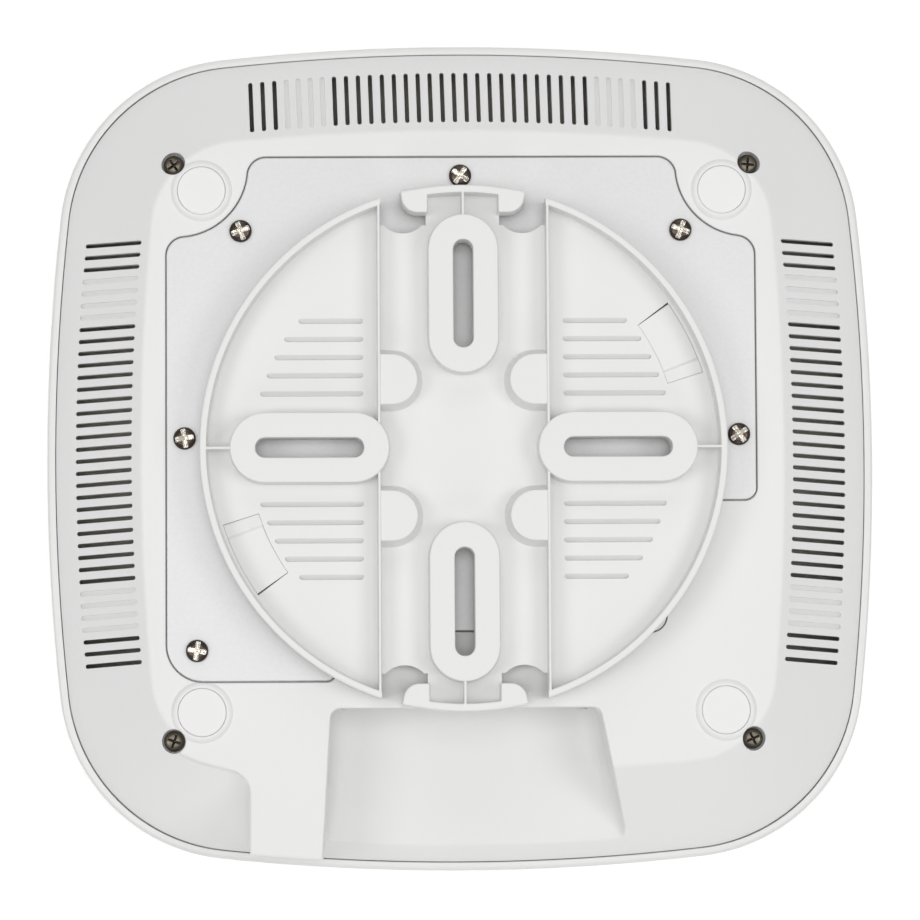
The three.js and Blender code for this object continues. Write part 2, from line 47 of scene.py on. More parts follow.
# rounded-square outlines: half width, radius of the bowed sides, radius of the corners
COVER_OUTLINE = (103.5, 550, 45.3)
SEAM_OUTLINE = (101.2, 546, 43.5)
PLATEAU_OUTLINE = (79, 605, 22)

PLATEAU_Z = -10.5
SEAM_Z = -34.4
HOUSING_END_Z = -36.5
FRONT_Z = -47
WALL = 2
PLATEAU_EDGE = 0.7                  # half the width of the rounding between plateau and skirt

PLATE_TOP_Z = -10.9
PLATE_THICK = 1.2
POCKET_Z = PLATE_TOP_Z - PLATE_THICK - GAP

RECESS_Z = -30
RECESS_BACK_Y = -63.4
PORT_WALL_Y = -61.1
OVERHANG_Z = PLATEAU_Z - WALL
RECESS_FOOT = (4, 5.5)              # floor fillets at the left and at the right wall, at the back
RECESS_FOOT_FRONT = (2.6, 2)        # and at the front
RECESS_DEEP = (-97, -70)            # front and back of that change, along Y

VENT = dict(count=36, pitch=2.97, width=1.05, length=14.7, row=88.6, radius=550, lean=3.3, groove=0.8)
OPEN_VENTS = [*range(0, 3), *range(7, 29), *range(33, 36)]

CORNER_WELL = 71
WELL_RADIUS = 2.9
WELL_FLOOR_Z = -17.8
FOOT_PLACE = 64
FOOT_RADIUS = 5.6
PLATE_SCREWS = [(-54.4, 54), (53.8, 54.1), (-0.4, 67.6), (-68.2, 3), (67.8, 3.6), (-65.2, -49)]
BOARD_SCREWS = [(-60, 40), (60, 40), (-60, -30), (60, -30)]
BOARD_TOP_Z = -26.2

RING_RADIUS = 64.2
RING_WALL = 1.8
RIM_Z = -0.3
FLOOR_Z = -6
UNDER_Z = -7.6
RING_END_Z = -10
CHORD_X = 20.6
RIB = 0.8
BOSS = dict(place=37.5, length=39, width=17.3, slot_length=26.3, slot_width=4.75)
PAD = dict(x=17.4, y=16.6, radius=7.4, slope=1.25, top=-0.6)
CORE_WALL = 1.6
HOOK = dict(inner=62.1, half_angle=13.9, ear_inner=8.5, ear_outer=15.1, ear_foot=57.2, ear_radius=4)
NOTCH = dict(x=14.6, y=59.3, radius=6.5)
CHANNEL_END = 54.8
GROOVES = dict(inner=24.5, outer=(49.5, 47.9, 46, 43.6, 40.1), first=13.5, pitch=4.45, width=1.1, depth=1.25)
LEDGE = dict(inner=59.4, top=-8.8, bottom=-9.9)
LUG = dict(inner=56, post=59, outer=61.8, top=-7.9, head_bottom=-8.5, margin=2)
LEDGE_SPANS = [(-62, -44), (42, 58), (118, 136), (222, 238)]
FINGER = dict(inner=52.4, outer=61.5, start=17.5, end=35)

JACK = dict(width=16, height=13, depth=21, face=-60.9, mouth=12, mouth_low=2.4, mouth_high=10.9, reach=14)
JACK_PLACES = {"ethernet_jack_left": -11.5, "ethernet_jack_right": 6}
ON_BOARD_Z = BOARD_TOP_Z + 0.1
DC_JACK = (22, -20)
RESET = (-24.6, -23.1)
LIGHT_PIPE_Y = 40
PORT_CUT_Y = (-64, -56)             # how far the openings of the port wall are cut, along Y
DC_JACK_HOLE = 3.9
RESET_HOLE = 1.6

# screw holes and the bosses inside the housing
WELL_HOLE, PLATE_HOLE, BOARD_HOLE = 1.7, 1.65, 1.4
HOLE_END_Z = -18.5
WELL_BOSS, FOOT_BOSS = dict(radius=4.5, end=-19.8), dict(radius=7.4, end=-14)
PLATE_BOSS, BOARD_BOSS = dict(radius=3.2, end=HOLE_END_Z), dict(radius=3, end=BOARD_TOP_Z + GAP)
CORNERS = ((-1, 1), (1, 1), (-1, -1), (1, -1))

# a quarter circle in three steps: places along its foot, and what is left to climb there
ROUND_AT = np.array([0, 0.134, 0.5, 1])
ROUND_LEFT = np.array([1, 0.5, 0.134, 0])


# ---- outlines: depth() is the distance inside, row() the outline moved outwards ------------------
def turned(points, degrees):
    """points turned about the origin"""
    angle = math.radians(degrees)
    turn = np.array([[math.cos(angle), math.sin(angle)], [-math.sin(angle), math.cos(angle)]])
    return np.asarray(points, float) @ turn


def arc(radius, start, end, steps, centre=(0, 0)):
    """points along an arc between two angles in degrees"""
    angles = np.radians(np.linspace(start, end, steps + 1))
    return np.column_stack([centre[0] + radius * np.cos(angles), centre[1] + radius * np.sin(angles)])


class Disc:
    """a circle"""

    def __init__(self, x, y, radius, steps=40):
        self.x, self.y, self.radius, self.steps = x, y, radius, steps

    def depth(self, x, y):
        return self.radius - np.hypot(x - self.x, y - self.y)

    def row(self, offset):
        return arc(self.radius + offset, 0, 360, self.steps, (self.x, self.y))[:-1]


class Bar:
    """a bar with round ends"""

    def __init__(self, x, y, length, width, degrees=0, steps=6, pieces=1):
        self.x, self.y, self.degrees, self.steps, self.pieces = x, y, degrees, steps, pieces
        self.reach, self.radius = (length - width) / 2, width / 2

    def depth(self, x, y):
        local = turned(np.column_stack([x - self.x, y - self.y]), -self.degrees)
        along = np.maximum(np.abs(local[:, 0]) - self.reach, 0)
        return self.radius - np.hypot(along, local[:, 1])

    def row(self, offset):
        radius = self.radius + offset
        right = arc(radius, -90, 90, self.steps, (self.reach, 0))
        left = arc(radius, 90, 270, self.steps, (-self.reach, 0))
        share = np.linspace(0, 1, self.pieces + 1)[1:-1, None]
        over = right[-1] + (left[0] - right[-1]) * share
        back = left[-1] + (right[0] - left[-1]) * share
        points = np.concatenate([right, over, left, back])
        return turned(points, self.degrees) + (self.x, self.y)


class Squircle:
    """a rounded square with bowed sides"""

    def __init__(self, outline, side_steps=40, corner_steps=24):
        self.half, self.side, self.corner = outline
        self.steps = side_steps, corner_steps
        shift, reach = self.side - self.half, self.side - self.corner
        self.centre = (-shift + math.sqrt(2 * reach * reach - shift * shift)) / 2
        self.tilt = math.atan2(self.centre, self.centre + shift)

    def depth(self, x, y):
        shift = self.side - self.half
        across, up = np.abs(x), np.abs(y)
        first = np.arctan2(up, across + shift)
        second = np.arctan2(across, up + shift)
        far = np.where(across > up, np.hypot(across + shift, up), np.hypot(across, up + shift))
        from_side = self.side - far
        from_corner = self.corner - np.hypot(across - self.centre, up - self.centre)
        return np.where((first > self.tilt) & (second > self.tilt), from_corner, from_side)

    def row(self, offset):
        tilt = math.degrees(self.tilt)
        side = arc(self.side + offset, -tilt, tilt, self.steps[0], (self.half - self.side, 0))[:-1]
        corner = arc(self.corner + offset, tilt, 90 - tilt, self.steps[1], (self.centre, self.centre))[:-1]
        quarter = np.concatenate([side, corner])
        return np.concatenate([turned(quarter, 90 * k) for k in range(4)])


class Path:
    """a closed outline given by its corners (x, y, radius), anticlockwise"""

    def __init__(self, corners, step=9):
        self.points = self.rounded(corners, step)
        following = np.roll(self.points, -1, axis=0) - self.points
        along = following / np.linalg.norm(following, axis=1)[:, None]
        before = np.roll(along, 1, axis=0)
        middle = along + before
        middle /= np.linalg.norm(middle, axis=1)[:, None]
        mitre = 1 / np.maximum((middle * along).sum(axis=1), 0.4)
        self.outward = np.column_stack([middle[:, 1], -middle[:, 0]]) * mitre[:, None]

    @staticmethod
    def rounded(corners, step):
        """the corners joined up, each with its own radius, with a point every few degrees"""
        corners = [tuple(c) if len(c) == 3 else (*c, 0) for c in corners]
        points = []
        for i, (x, y, radius) in enumerate(corners):
            here = np.array([x, y])
            if radius == 0:
                points.append(here)
                continue
            back = np.array(corners[i - 1][:2]) - here
            on = np.array(corners[(i + 1) % len(corners)][:2]) - here
            back /= np.linalg.norm(back)
            on /= np.linalg.norm(on)
            half = math.acos(np.clip(back @ on, -1, 1)) / 2
            centre = here + (back + on) / np.linalg.norm(back + on) * radius / math.sin(half)
            start = here + back * radius / math.tan(half) - centre
            end = here + on * radius / math.tan(half) - centre
            first, last = math.atan2(start[1], start[0]), math.atan2(end[1], end[0])
            sweep = (last - first + math.pi) % (2 * math.pi) - math.pi
            count = max(2, round(abs(math.degrees(sweep)) / step))
            for k in range(count + 1):
                angle = first + sweep * k / count
                points.append(centre + radius * np.array([math.cos(angle), math.sin(angle)]))
        return np.array(points)

    def depth(self, x, y, reach=8):
        """distance inside; further than reach from the outline's own box it is simply -reach"""
        point = np.column_stack([x, y])
        start, end = self.points, np.roll(self.points, -1, axis=0)
        result = np.full(len(point), -float(reach))
        low, high = start.min(axis=0) - reach, start.max(axis=0) + reach
        near = np.nonzero(((point > low) & (point < high)).all(axis=1))[0]
        span = end - start
        for chunk in np.array_split(near, max(1, len(near) // 4000)):
            p = point[chunk][:, None]
            share = np.clip(((p - start) * span).sum(axis=2) / (span * span).sum(axis=1), 0, 1)
            gap = np.linalg.norm(p - start - share[..., None] * span, axis=2).min(axis=1)
            above = start[:, 1] > p[..., 1]
            crosses = above != (end[:, 1] > p[..., 1])
            rise = np.where(span[:, 1] == 0, 1, span[:, 1])
            at = start[:, 0] + (p[..., 1] - start[:, 1]) / rise * span[:, 0]
            inside = (crosses & (p[..., 0] < at)).sum(axis=1) % 2 == 1
            result[chunk] = np.where(inside, gap, -gap)
        return result

    def row(self, offset):
        return self.points + self.outward * offset


def sector(inner, outer, start, end, step=1.5):
    """a stretch of a ring between two radii and two angles"""
    steps = max(2, round((end - start) / step))
    return Path([*arc(outer, start, end, steps), *arc(inner, end, start, steps)])


# ---- walls between two levels --------------------------------------------------------------------
def wall(depth, low, high, foot=0.3, rim=0.3, draft=0.1):
    """height near a wall with a rounded foot and rim; depth is measured from its foot to the high side"""
    half = np.maximum(high - low, 0) / 2
    foot_rise, rim_fall = np.minimum(foot, half), np.minimum(rim, half)
    rise = foot_rise * np.interp(-depth / foot, ROUND_AT, ROUND_LEFT)
    drop = rim_fall * np.interp((depth - draft) / rim, ROUND_AT, ROUND_LEFT)
    share = np.clip((depth - 0.2 * draft) / (0.6 * draft), 0, 1)
    middle = (low + foot_rise) * (1 - share) + (high - rim_fall) * share
    return np.where(depth <= 0, low + rise, np.where(depth >= draft, high - drop, middle))


def wall_rows(foot=0.3, rim=0.3, draft=0.1):
    """where the rows of points of such a wall are, from the low to the high side"""
    return [*(-foot * ROUND_AT[:0:-1]), 0, *(draft + rim * ROUND_AT)]


def rim_drop(distance, radius):
    """how far a surface has dropped towards its rounded edge"""
    return np.interp(distance, radius * ROUND_AT, radius * ROUND_LEFT)


# ---- meshes --------------------------------------------------------------------------------------
SMOOTH = 35
SCREW_SMOOTH = 50


class Layout:
    """points and lines of a flat drawing, in millimetres"""

    def __init__(self):
        self.points, self.edges = [], []

    def add(self, points, closed=True):
        start, count = len(self.points), len(points)
        self.points += [Vector((float(x), float(y))) for x, y in points]
        self.edges += [(start + i, start + (i + 1) % count) for i in range(count if closed else count - 1)]

    def raised(self, outline, **sizes):
        """rows of a wall whose high side is inside the outline"""
        for offset in wall_rows(**sizes):
            self.add(outline.row(-offset))

    def sunk(self, outline, **sizes):
        """rows of a wall whose high side is outside the outline"""
        for offset in wall_rows(**sizes):
            self.add(outline.row(offset))

    def hole(self, outline, rim):
        """an edge of the drawing with a rounded rim on its outside"""
        for offset in rim * ROUND_AT:
            self.add(outline.row(offset))

    def edge(self, outline, rim):
        """an edge of the drawing with a rounded rim on its inside"""
        for offset in rim * ROUND_AT:
            self.add(outline.row(-offset))


def mesh_object(name, verts, faces, materials, indices=None):
    """a smooth mesh from millimetres, with sharp edges where it turns by more than its "smooth" degrees"""
    mesh = bpy.data.meshes.new(name)
    mesh.from_pydata([tuple(v) for v in np.asarray(verts) * MM], [], [tuple(map(int, f)) for f in faces])
    for material in materials:
        mesh.materials.append(material)
    if indices is not None:
        mesh.polygons.foreach_set("material_index", np.asarray(indices, np.int32))
    mesh.polygons.foreach_set("use_smooth", np.ones(len(mesh.polygons), bool))
    mesh.update()
    piece = bpy.data.objects.new(name, mesh)
    bpy.context.scene.collection.objects.link(piece)
    piece["smooth"] = SMOOTH
    return piece


def finished(piece, body, slot, *replaced):
    """shading by angle, the piece hung on its body, and the nodes it replaces hidden"""
    piece.data.set_sharp_from_angle(angle=math.radians(piece["smooth"]))
    weighted = piece.modifiers.new("weighted_normals", "WEIGHTED_NORMAL")
    weighted.keep_sharp = True
    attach(piece, body)
    if replaced:
        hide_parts(*replaced)
    return piece


def sheet(name, layout, inside, top, bottom, materials, under=0):
    """closed solid between two height fields, over the part of a layout that is inside"""
    points, _, faces, *_ = delaunay_2d_cdt(layout.points, layout.edges, [], 0, 1e-4)
    place = np.array([tuple(p) for p in points])
    faces = np.array(faces)
    middle = place[faces].mean(axis=1)
    faces = faces[inside(middle[:, 0], middle[:, 1])]
    a, b, c = (place[faces[:, k]] for k in range(3))
    area = (b[:, 0] - a[:, 0]) * (c[:, 1] - a[:, 1]) - (b[:, 1] - a[:, 1]) * (c[:, 0] - a[:, 0])
    faces[area < 0] = faces[area < 0][:, ::-1]
    used, faces = np.unique(faces, return_inverse=True)
    faces = faces.reshape(-1, 3)
    x, y = place[used].T
    count = len(used)
    verts = np.concatenate([np.column_stack([x, y, top(x, y)]), np.column_stack([x, y, bottom(x, y)])])
    edges = np.concatenate([faces[:, [0, 1]], faces[:, [1, 2]], faces[:, [2, 0]]])
    keys = set(map(tuple, edges))
    border = [(p, q) for p, q in keys if (q, p) not in keys]
    sides = sorted((p, p + count, q + count, q) for p, q in border)
    everything = [*faces, *(faces[:, ::-1] + count), *sides]
    indices = [0] * len(faces) + [under] * len(faces) + [0] * len(sides)
    return mesh_object(name, verts, everything, materials, indices)


def tile(name, layout, outline, top, low, materials):
    """closed solid over all of an outline, with a flat underside"""
    return sheet(name, layout, lambda x, y: outline.depth(x, y) > 0, top,
                 lambda x, y: np.full(len(x), float(low)), materials)


def loft(name, rings, materials, indices=None):
    """closed solid through rings of as many points each; the first and last ring close to a point"""
    count = len(rings[0])
    verts = np.concatenate([*rings, [rings[0].mean(axis=0)], [rings[-1].mean(axis=0)]])
    faces, marks = [], []
    for r in range(len(rings) - 1):
        for i in range(count):
            j = (i + 1) % count
            faces.append((r * count + i, r * count + j, (r + 1) * count + j, (r + 1) * count + i))
            marks.append(indices[r] if indices else 0)
    last = (len(rings) - 1) * count
    for i in range(count):
        j = (i + 1) % count
        faces.append((len(verts) - 2, j, i))
        faces.append((len(verts) - 1, last + i, last + j))
        marks += [indices[0], indices[-1]] if indices else [0, 0]
    return mesh_object(name, verts, faces, materials, marks)


def lathe(name, profile, materials, x, y, steps, axis="Z"):
    """closed solid turned from a profile of (radius, height), from its lower to its upper middle"""
    angles = np.linspace(0, 2 * math.pi, steps, endpoint=False)
    rings = []
    for radius, height in profile:
        across, up = radius * np.cos(angles), radius * np.sin(angles)
        level = np.full(steps, float(height))
        ring = (across + x, up + y, level) if axis == "Z" else (across + x, level, y - up)
        rings.append(np.column_stack(ring))
    return loft(name, rings, materials)


def prism(name, points, low, high, materials):
    """upright solid on a flat outline"""
    count = len(points)
    verts = [(*p, low) for p in points] + [(*p, high) for p in points]
    sides = [(i, (i + 1) % count, (i + 1) % count + count, i + count) for i in range(count)]
    faces = [tuple(range(count))[::-1], tuple(range(count, 2 * count)), *sides]
    return mesh_object(name, verts, faces, materials)


def combined(piece, tools, operation):
    """piece after joining it with the tools, or cutting them from it"""
    for tool in tools:
        step = piece.modifiers.new("step", "BOOLEAN")
        step.operation, step.solver, step.object = operation, "MANIFOLD", tool
    graph = bpy.context.evaluated_depsgraph_get()
    mesh = bpy.data.meshes.new_from_object(piece.evaluated_get(graph))
    piece.modifiers.clear()
    old, piece.data = piece.data, mesh
    bpy.data.meshes.remove(old)
    for tool in tools:
        bpy.data.meshes.remove(tool.data)
    return piece


def block(x, y, z):
    """a cutting block between two values along each axis"""
    return prism("tool", [(x[0], y[0]), (x[1], y[0]), (x[1], y[1]), (x[0], y[1])], z[0], z[1], [])


# ---- materials -----------------------------------------------------------------------------------
def material(name, color, roughness, metallic=0, grain=4000, bump=0.02, mottle=0.01, spread=0.05,
             stretch=(1, 1, 1), coat=0, large=60):
    """a surface with fine grain in its height and gloss and slow, slight changes of colour"""
    made = bpy.data.materials.new(name)
    made.use_nodes = True
    links = made.node_tree.links
    shader = made.node_tree.nodes["Principled BSDF"]
    shader.inputs["Metallic"].default_value = metallic
    shader.inputs["Coat Weight"].default_value = coat

    def add(kind, **values):
        """a new node with some of its inputs set"""
        node = made.node_tree.nodes.new(f"ShaderNode{kind}")
        for socket, value in values.items():
            node.inputs[socket.replace("_", " ")].default_value = value
        return node

    place, scaled = add("TexCoord"), add("Mapping", Scale=stretch)
    links.new(place.outputs["Object"], scaled.inputs["Vector"])
    fine, slow = add("TexNoise", Scale=grain, Detail=2), add("TexNoise", Scale=large, Detail=3)
    for noise in (fine, slow):
        links.new(scaled.outputs["Vector"], noise.inputs["Vector"])

    # colour follows the sum of the slow and the fine change
    both = add("Math")
    both.operation = "ADD"
    links.new(fine.outputs["Fac"], both.inputs[0])
    links.new(slow.outputs["Fac"], both.inputs[1])
    ramp = add("MapRange", From_Min=0.7, From_Max=1.3)
    links.new(both.outputs[0], ramp.inputs["Value"])
    tint = add("Mix")
    tint.data_type = "RGBA"
    tint.inputs["A"].default_value = (*[c * (1 - mottle) for c in color], 1)
    tint.inputs["B"].default_value = (*[min(1, c * (1 + mottle)) for c in color], 1)
    links.new(ramp.outputs["Result"], tint.inputs["Factor"])
    links.new(tint.outputs["Result"], shader.inputs["Base Color"])

    gloss = add("MapRange", To_Min=roughness - spread, To_Max=roughness + spread)
    links.new(slow.outputs["Fac"], gloss.inputs["Value"])
    links.new(gloss.outputs["Result"], shader.inputs["Roughness"])
    relief = add("Bump", Strength=1, Distance=bump * MM)
    links.new(fine.outputs["Fac"], relief.inputs["Height"])
    links.new(relief.outputs["Normal"], shader.inputs["Normal"])
    return made


WHITE = material("bracket_white", (0.765, 0.765, 0.755), 0.42, bump=0.004, mottle=0.006)
HOUSING = material("housing_white", (0.78, 0.78, 0.775), 0.5, bump=0.01, mottle=0.008)
COVER = material("cover_white", (0.73, 0.73, 0.72), 0.3, bump=0.003, mottle=0.006, coat=0.2)
# painted shade: a darker, warmer copy of the housing white for the inner faces of housing and cover, so that
# the vents and the inside look shadowed
SHADED_INSIDE = material("inner_white_painted_shade", (0.66, 0.64, 0.6), 0.6, bump=0.02, mottle=0.02)
PAINTED = material("silver_paint", (0.64, 0.64, 0.64), 0.42, metallic=0.35, grain=3200, bump=0.012,
                   mottle=0.035, large=900)
STEEL = material("brown_nickel", (0.17, 0.15, 0.12), 0.35, metallic=0.9, grain=2500, bump=0.02, mottle=0.25)
DARK_NICKEL = material("dark_nickel", (0.08, 0.062, 0.054), 0.3, metallic=0.9, grain=2500, bump=0.02,
                       mottle=0.25)
BRIGHT = material("bright_nickel", (0.95, 0.92, 0.85), 0.22, metallic=1, grain=2500, bump=0.02, mottle=0.05)
RUBBER = material("foot_rubber", (0.82, 0.815, 0.81), 0.7, grain=2500, bump=0.012, mottle=0.01)
BOARD = material("solder_mask", (0.03, 0.16, 0.08), 0.35, grain=700, bump=0.02, mottle=0.25)
SOFT_GREY = material("thermal_pad", (0.4, 0.45, 0.5), 0.8, grain=1500, bump=0.04, mottle=0.08)
MILLED = material("milled_aluminium", (0.78, 0.79, 0.8), 0.35, metallic=1, grain=900, bump=0.01,
                  mottle=0.05, stretch=(1, 12, 1))
TINNED = material("tinned_steel", (0.68, 0.69, 0.7), 0.28, metallic=1, grain=1200, bump=0.008, mottle=0.06)
GOLD = material("contact_gold", (0.8, 0.58, 0.25), 0.25, metallic=1, grain=2500, bump=0.004, mottle=0.06)
BLACK = material("black_plastic", (0.02, 0.02, 0.022), 0.45, grain=3000, bump=0.02, mottle=0.2)
CLEAR = material("light_pipe", (0.85, 0.9, 0.92), 0.12, grain=1500, bump=0.002, mottle=0.02)


# ---- housing -------------------------------------------------------------------------------------
PLATEAU = Squircle(PLATEAU_OUTLINE, 60, 24)
SEAM = Squircle(SEAM_OUTLINE, 80, 40)
SKIRT_SLOPE = (PLATEAU_Z - SEAM_Z) / (SEAM_OUTLINE[0] - PLATEAU_OUTLINE[0])


def plate_outline():
    """the metal plate, with a round bite beside each upper foot and a step down its right edge"""
    left, right, top, bottom, lowest = -72.6, 72, 72.2, -44.4, -56.5
    bite, place, fillet = 17.5, 70, 4.5
    first = arc(bite, 264, 188, 14, (place, place))
    second = arc(bite, -8, -84, 14, (-place, place))
    return Path([
        (left, lowest, 9), (-32, lowest, 2), (-29, bottom, 2), (30, bottom, 2), (33, -12.5, 2),
        (right, -12.5, 3), (right, place - bite, fillet), *first, (place - bite, top, fillet),
        (bite - place, top, fillet), *second, (left, place - bite, fillet),
    ])


PLATE = plate_outline()
POCKET = dict(foot=0.1, rim=0.3, draft=0.1)
PLATE_GAP = 0.2

RECESS_LEFT = [(-32.4, RECESS_BACK_Y), (-33.4, -81.2), (-35.3, -112)]
RECESS_RIGHT = [(45, -112), (38.2, -86.5), (35.9, -77.5), (33, RECESS_BACK_Y)]
RECESS = Path([(*RECESS_LEFT[0], 2.2), *RECESS_LEFT[1:], *RECESS_RIGHT[:3], (*RECESS_RIGHT[3], 1.8)])
RECESS_SIDES = Path([(-31.6, -40), *RECESS_LEFT, *RECESS_RIGHT, (29, -40)])
BRINK_BETWEEN = (-84.0, -104.0)      # the floor meets the skirt somewhere between these, along Y
RECESS_WALL = dict(foot=0.01, rim=0.45, draft=0.25)
RECESS_OUTSIDE = Path([(-34.6, -59.1), (-35.4, -81.2), (-37.3, -110), (47, -110), (40.2, -86.5),
                       (37.9, -77.5), (35, -59.1)])

EXTENSION_CORNER = dict(radius=5.7, centre=(-58.3, -83.9))
EXTENSION = Path([
    (-30.5, -60), (-62, -60), (-70, -74.1, 1), (-64.5, -76.4, 9), (-60.6, -77.4, 9),
    *arc(EXTENSION_CORNER["radius"], 78, 0, 9, EXTENSION_CORNER["centre"]), (-52.6, -112), (-30.5, -112),
])
EXTENSION_WALL = dict(foot=0.5, rim=0.6, draft=0.2)
EXTENSION_ROOM = Path([(-37.5, -64), (-64, -64), (-63.9, -72.8), (-57, -77), (-50.4, -84), (-50.4, -98.7),
                       (-37.5, -98.7)])
HEAT_WINDOW = Path([(-36, 38), (-36, -34), (-20.5, -34), (-20.5, -43), (15, -43), (15, -34), (36, -34),
                    (36, 38)])

WELLS = [Disc(sx * CORNER_WELL, sy * CORNER_WELL, WELL_RADIUS) for sx, sy in CORNERS]
FOOT_SEAT_Z = -10.75
FOOT_STEM = dict(radius=4.8, end=-11.8)
FOOT_WALL = dict(foot=0.03, rim=0.12, draft=0.03)
FEET = [Disc(sx * FOOT_PLACE, sy * FOOT_PLACE, FOOT_RADIUS + 0.32, 56) for sx, sy in CORNERS]
PLUG = dict(x=45.7, y=-40.9, radius=4, gap=0.25, depth=2)


def vents():
    """every slot of the three rows, as pairs of outline and whether it goes through"""
    slots = []
    last = (VENT["count"] - 1) / 2
    for turn in (0, 90, -90):
        for i in range(VENT["count"]):
            along = (i - last) * VENT["pitch"]
            out = VENT["row"] - along * along / (2 * VENT["radius"])
            lean = VENT["lean"] * (i - last) / last
            x, y = turned([(along, out)], turn)[0]
            bar = Bar(x, y, VENT["length"], VENT["width"], 90 + turn - lean, 5, 4)
            slots.append((bar, i in OPEN_VENTS))
    return slots


VENTS = vents()
VENT_RIM = 0.22
BLOCKED_WALL = dict(foot=0.12, rim=0.18, draft=0.06)
FOOT_RING = dict(width=1.5, height=0.75)
SEAM_RIM = 0.6
PLUG_WALL = dict(foot=0.05, rim=0.1, draft=0.05)
WELL_WALL = dict(foot=0.15, rim=0.3, draft=0.08)


def skirt(x, y):
    """plateau, sloped skirt, and the rounding between them"""
    inside, outside = PLATEAU.depth(x, y), SEAM.depth(x, y)
    share = np.clip(-inside / np.maximum(outside - inside, 1e-6), 0, 1)
    straight = PLATEAU_Z - (PLATEAU_Z - SEAM_Z) * share
    blend = PLATEAU_Z - SKIRT_SLOPE * (PLATEAU_EDGE - inside) ** 2 / (4 * PLATEAU_EDGE)
    return np.where(np.abs(inside) < PLATEAU_EDGE, blend, straight)


def near(outline, x, y, reach):
    """points that may be close to a small outline"""
    size = getattr(outline, "reach", 0) + outline.radius + reach
    return np.nonzero((np.abs(x - outline.x) < size) & (np.abs(y - outline.y) < size))[0]


def recess_floor(x, y):
    """flat floor that curves up into the side walls"""
    depth = np.maximum(RECESS_SIDES.depth(x, y), 0)
    left, right = (np.interp(y, RECESS_DEEP, pair) for pair in zip(RECESS_FOOT_FRONT, RECESS_FOOT))
    radius = np.where(x < 0, left, right)
    climb = np.maximum(radius - depth, 0)
    return RECESS_Z + radius - np.sqrt(radius ** 2 - climb ** 2)


def soft_least(first, second, size=0.35):
    """the lower of two surfaces, with the edge between them rounded"""
    share = np.clip(0.5 + (second - first) / (2 * size), 0, 1)
    return second * (1 - share) + first * share - size * share * (1 - share)


def recess_brink():
    """where the floor of the recess meets the skirt, as one point for each x"""
    x = np.linspace(RECESS_LEFT[-1][0], RECESS_RIGHT[0][0], 70)
    near_side, far_side = (np.full(len(x), y) for y in BRINK_BETWEEN)
    for _ in range(20):
        y = (near_side + far_side) / 2
        above = skirt(x, y) > recess_floor(x, y)
        near_side, far_side = np.where(above, y, near_side), np.where(above, far_side, y)
    return np.column_stack([x, y])


def housing_top(x, y):
    """the outer face, with everything that stands on it or is sunk in it"""
    slope = skirt(x, y)
    z = np.maximum(slope, wall(EXTENSION.depth(x, y), slope, PLATEAU_Z, **EXTENSION_WALL))
    tall = z > SEAM_Z + 2
    z = np.where(tall, z - rim_drop(SEAM.depth(x, y), SEAM_RIM), z)
    for foot in FEET:
        some = near(foot, x, y, 3)
        away = -foot.depth(x[some], y[some])
        ring = FOOT_RING["height"] * np.clip(1.15 - (away / FOOT_RING["width"]) ** 2, 0, 1)
        lifted = np.where(away > -0.01, np.maximum(z[some], PLATEAU_Z + ring - 0.001), z[some])
        z[some] = np.where(ring > 0, lifted, z[some])
        z[some] = np.minimum(z[some], wall(away, FOOT_SEAT_Z, z[some], **FOOT_WALL))
        z[some] = np.where(away < FOOT_STEM["radius"] + GAP - foot.radius, FOOT_STEM["end"] - 0.1, z[some])
    for well in WELLS:
        some = near(well, x, y, 2)
        z[some] = np.minimum(z[some], wall(-well.depth(x[some], y[some]), WELL_FLOOR_Z, z[some], **WELL_WALL))
    around = np.abs(np.hypot(x - PLUG["x"], y - PLUG["y"]) - PLUG["radius"]) - PLUG["gap"] / 2
    z = np.minimum(z, wall(around, z - PLUG["depth"], z, **PLUG_WALL))
    z = np.minimum(z, wall(-PLATE.depth(x, y) - PLATE_GAP, POCKET_Z, z, **POCKET))
    floor = soft_least(recess_floor(x, y), slope)
    z = np.minimum(z, wall(-RECESS.depth(x, y), floor, z, **RECESS_WALL))
    for slot, is_open in VENTS:
        some = near(slot, x, y, 1)
        away = -slot.depth(x[some], y[some])
        if is_open:
            z[some] -= rim_drop(away, VENT_RIM)
        else:
            z[some] = np.minimum(z[some], wall(away, z[some] - VENT["groove"], z[some], **BLOCKED_WALL))
    return z


def housing_bottom(x, y):
    """the inner face: the outer shape less the wall, with the bosses that stand inside"""
    inside = PLATEAU.depth(x, y)
    z = skirt(x, y) - np.interp(inside, [-1.6, 1], [2.94, WALL])
    z = np.where(EXTENSION_ROOM.depth(x, y) > 0, PLATEAU_Z - WALL, z)
    z = np.where(PLATE.depth(x, y) > -GAP - WALL, np.minimum(z, POCKET_Z - WALL), z)
    z = np.where(RECESS_OUTSIDE.depth(x, y) > 0, np.minimum(z, RECESS_Z - WALL), z)
    for place, boss in ((CORNER_WELL, WELL_BOSS), (FOOT_PLACE, FOOT_BOSS)):
        away = np.hypot(np.abs(x) - place, np.abs(y) - place)
        z = np.where(away < boss["radius"], np.minimum(z, boss["end"]), z)
    for places, boss in ((PLATE_SCREWS, PLATE_BOSS), (BOARD_SCREWS, BOARD_BOSS)):
        for px, py in places:
            z = np.where(np.hypot(x - px, y - py) < boss["radius"], np.minimum(z, boss["end"]), z)
    for px, py in BOARD_SCREWS:
        z = np.where(np.hypot(x - px, y - py) < BOARD_HOLE, HOLE_END_Z, z)
    return np.maximum(z, HOUSING_END_Z)


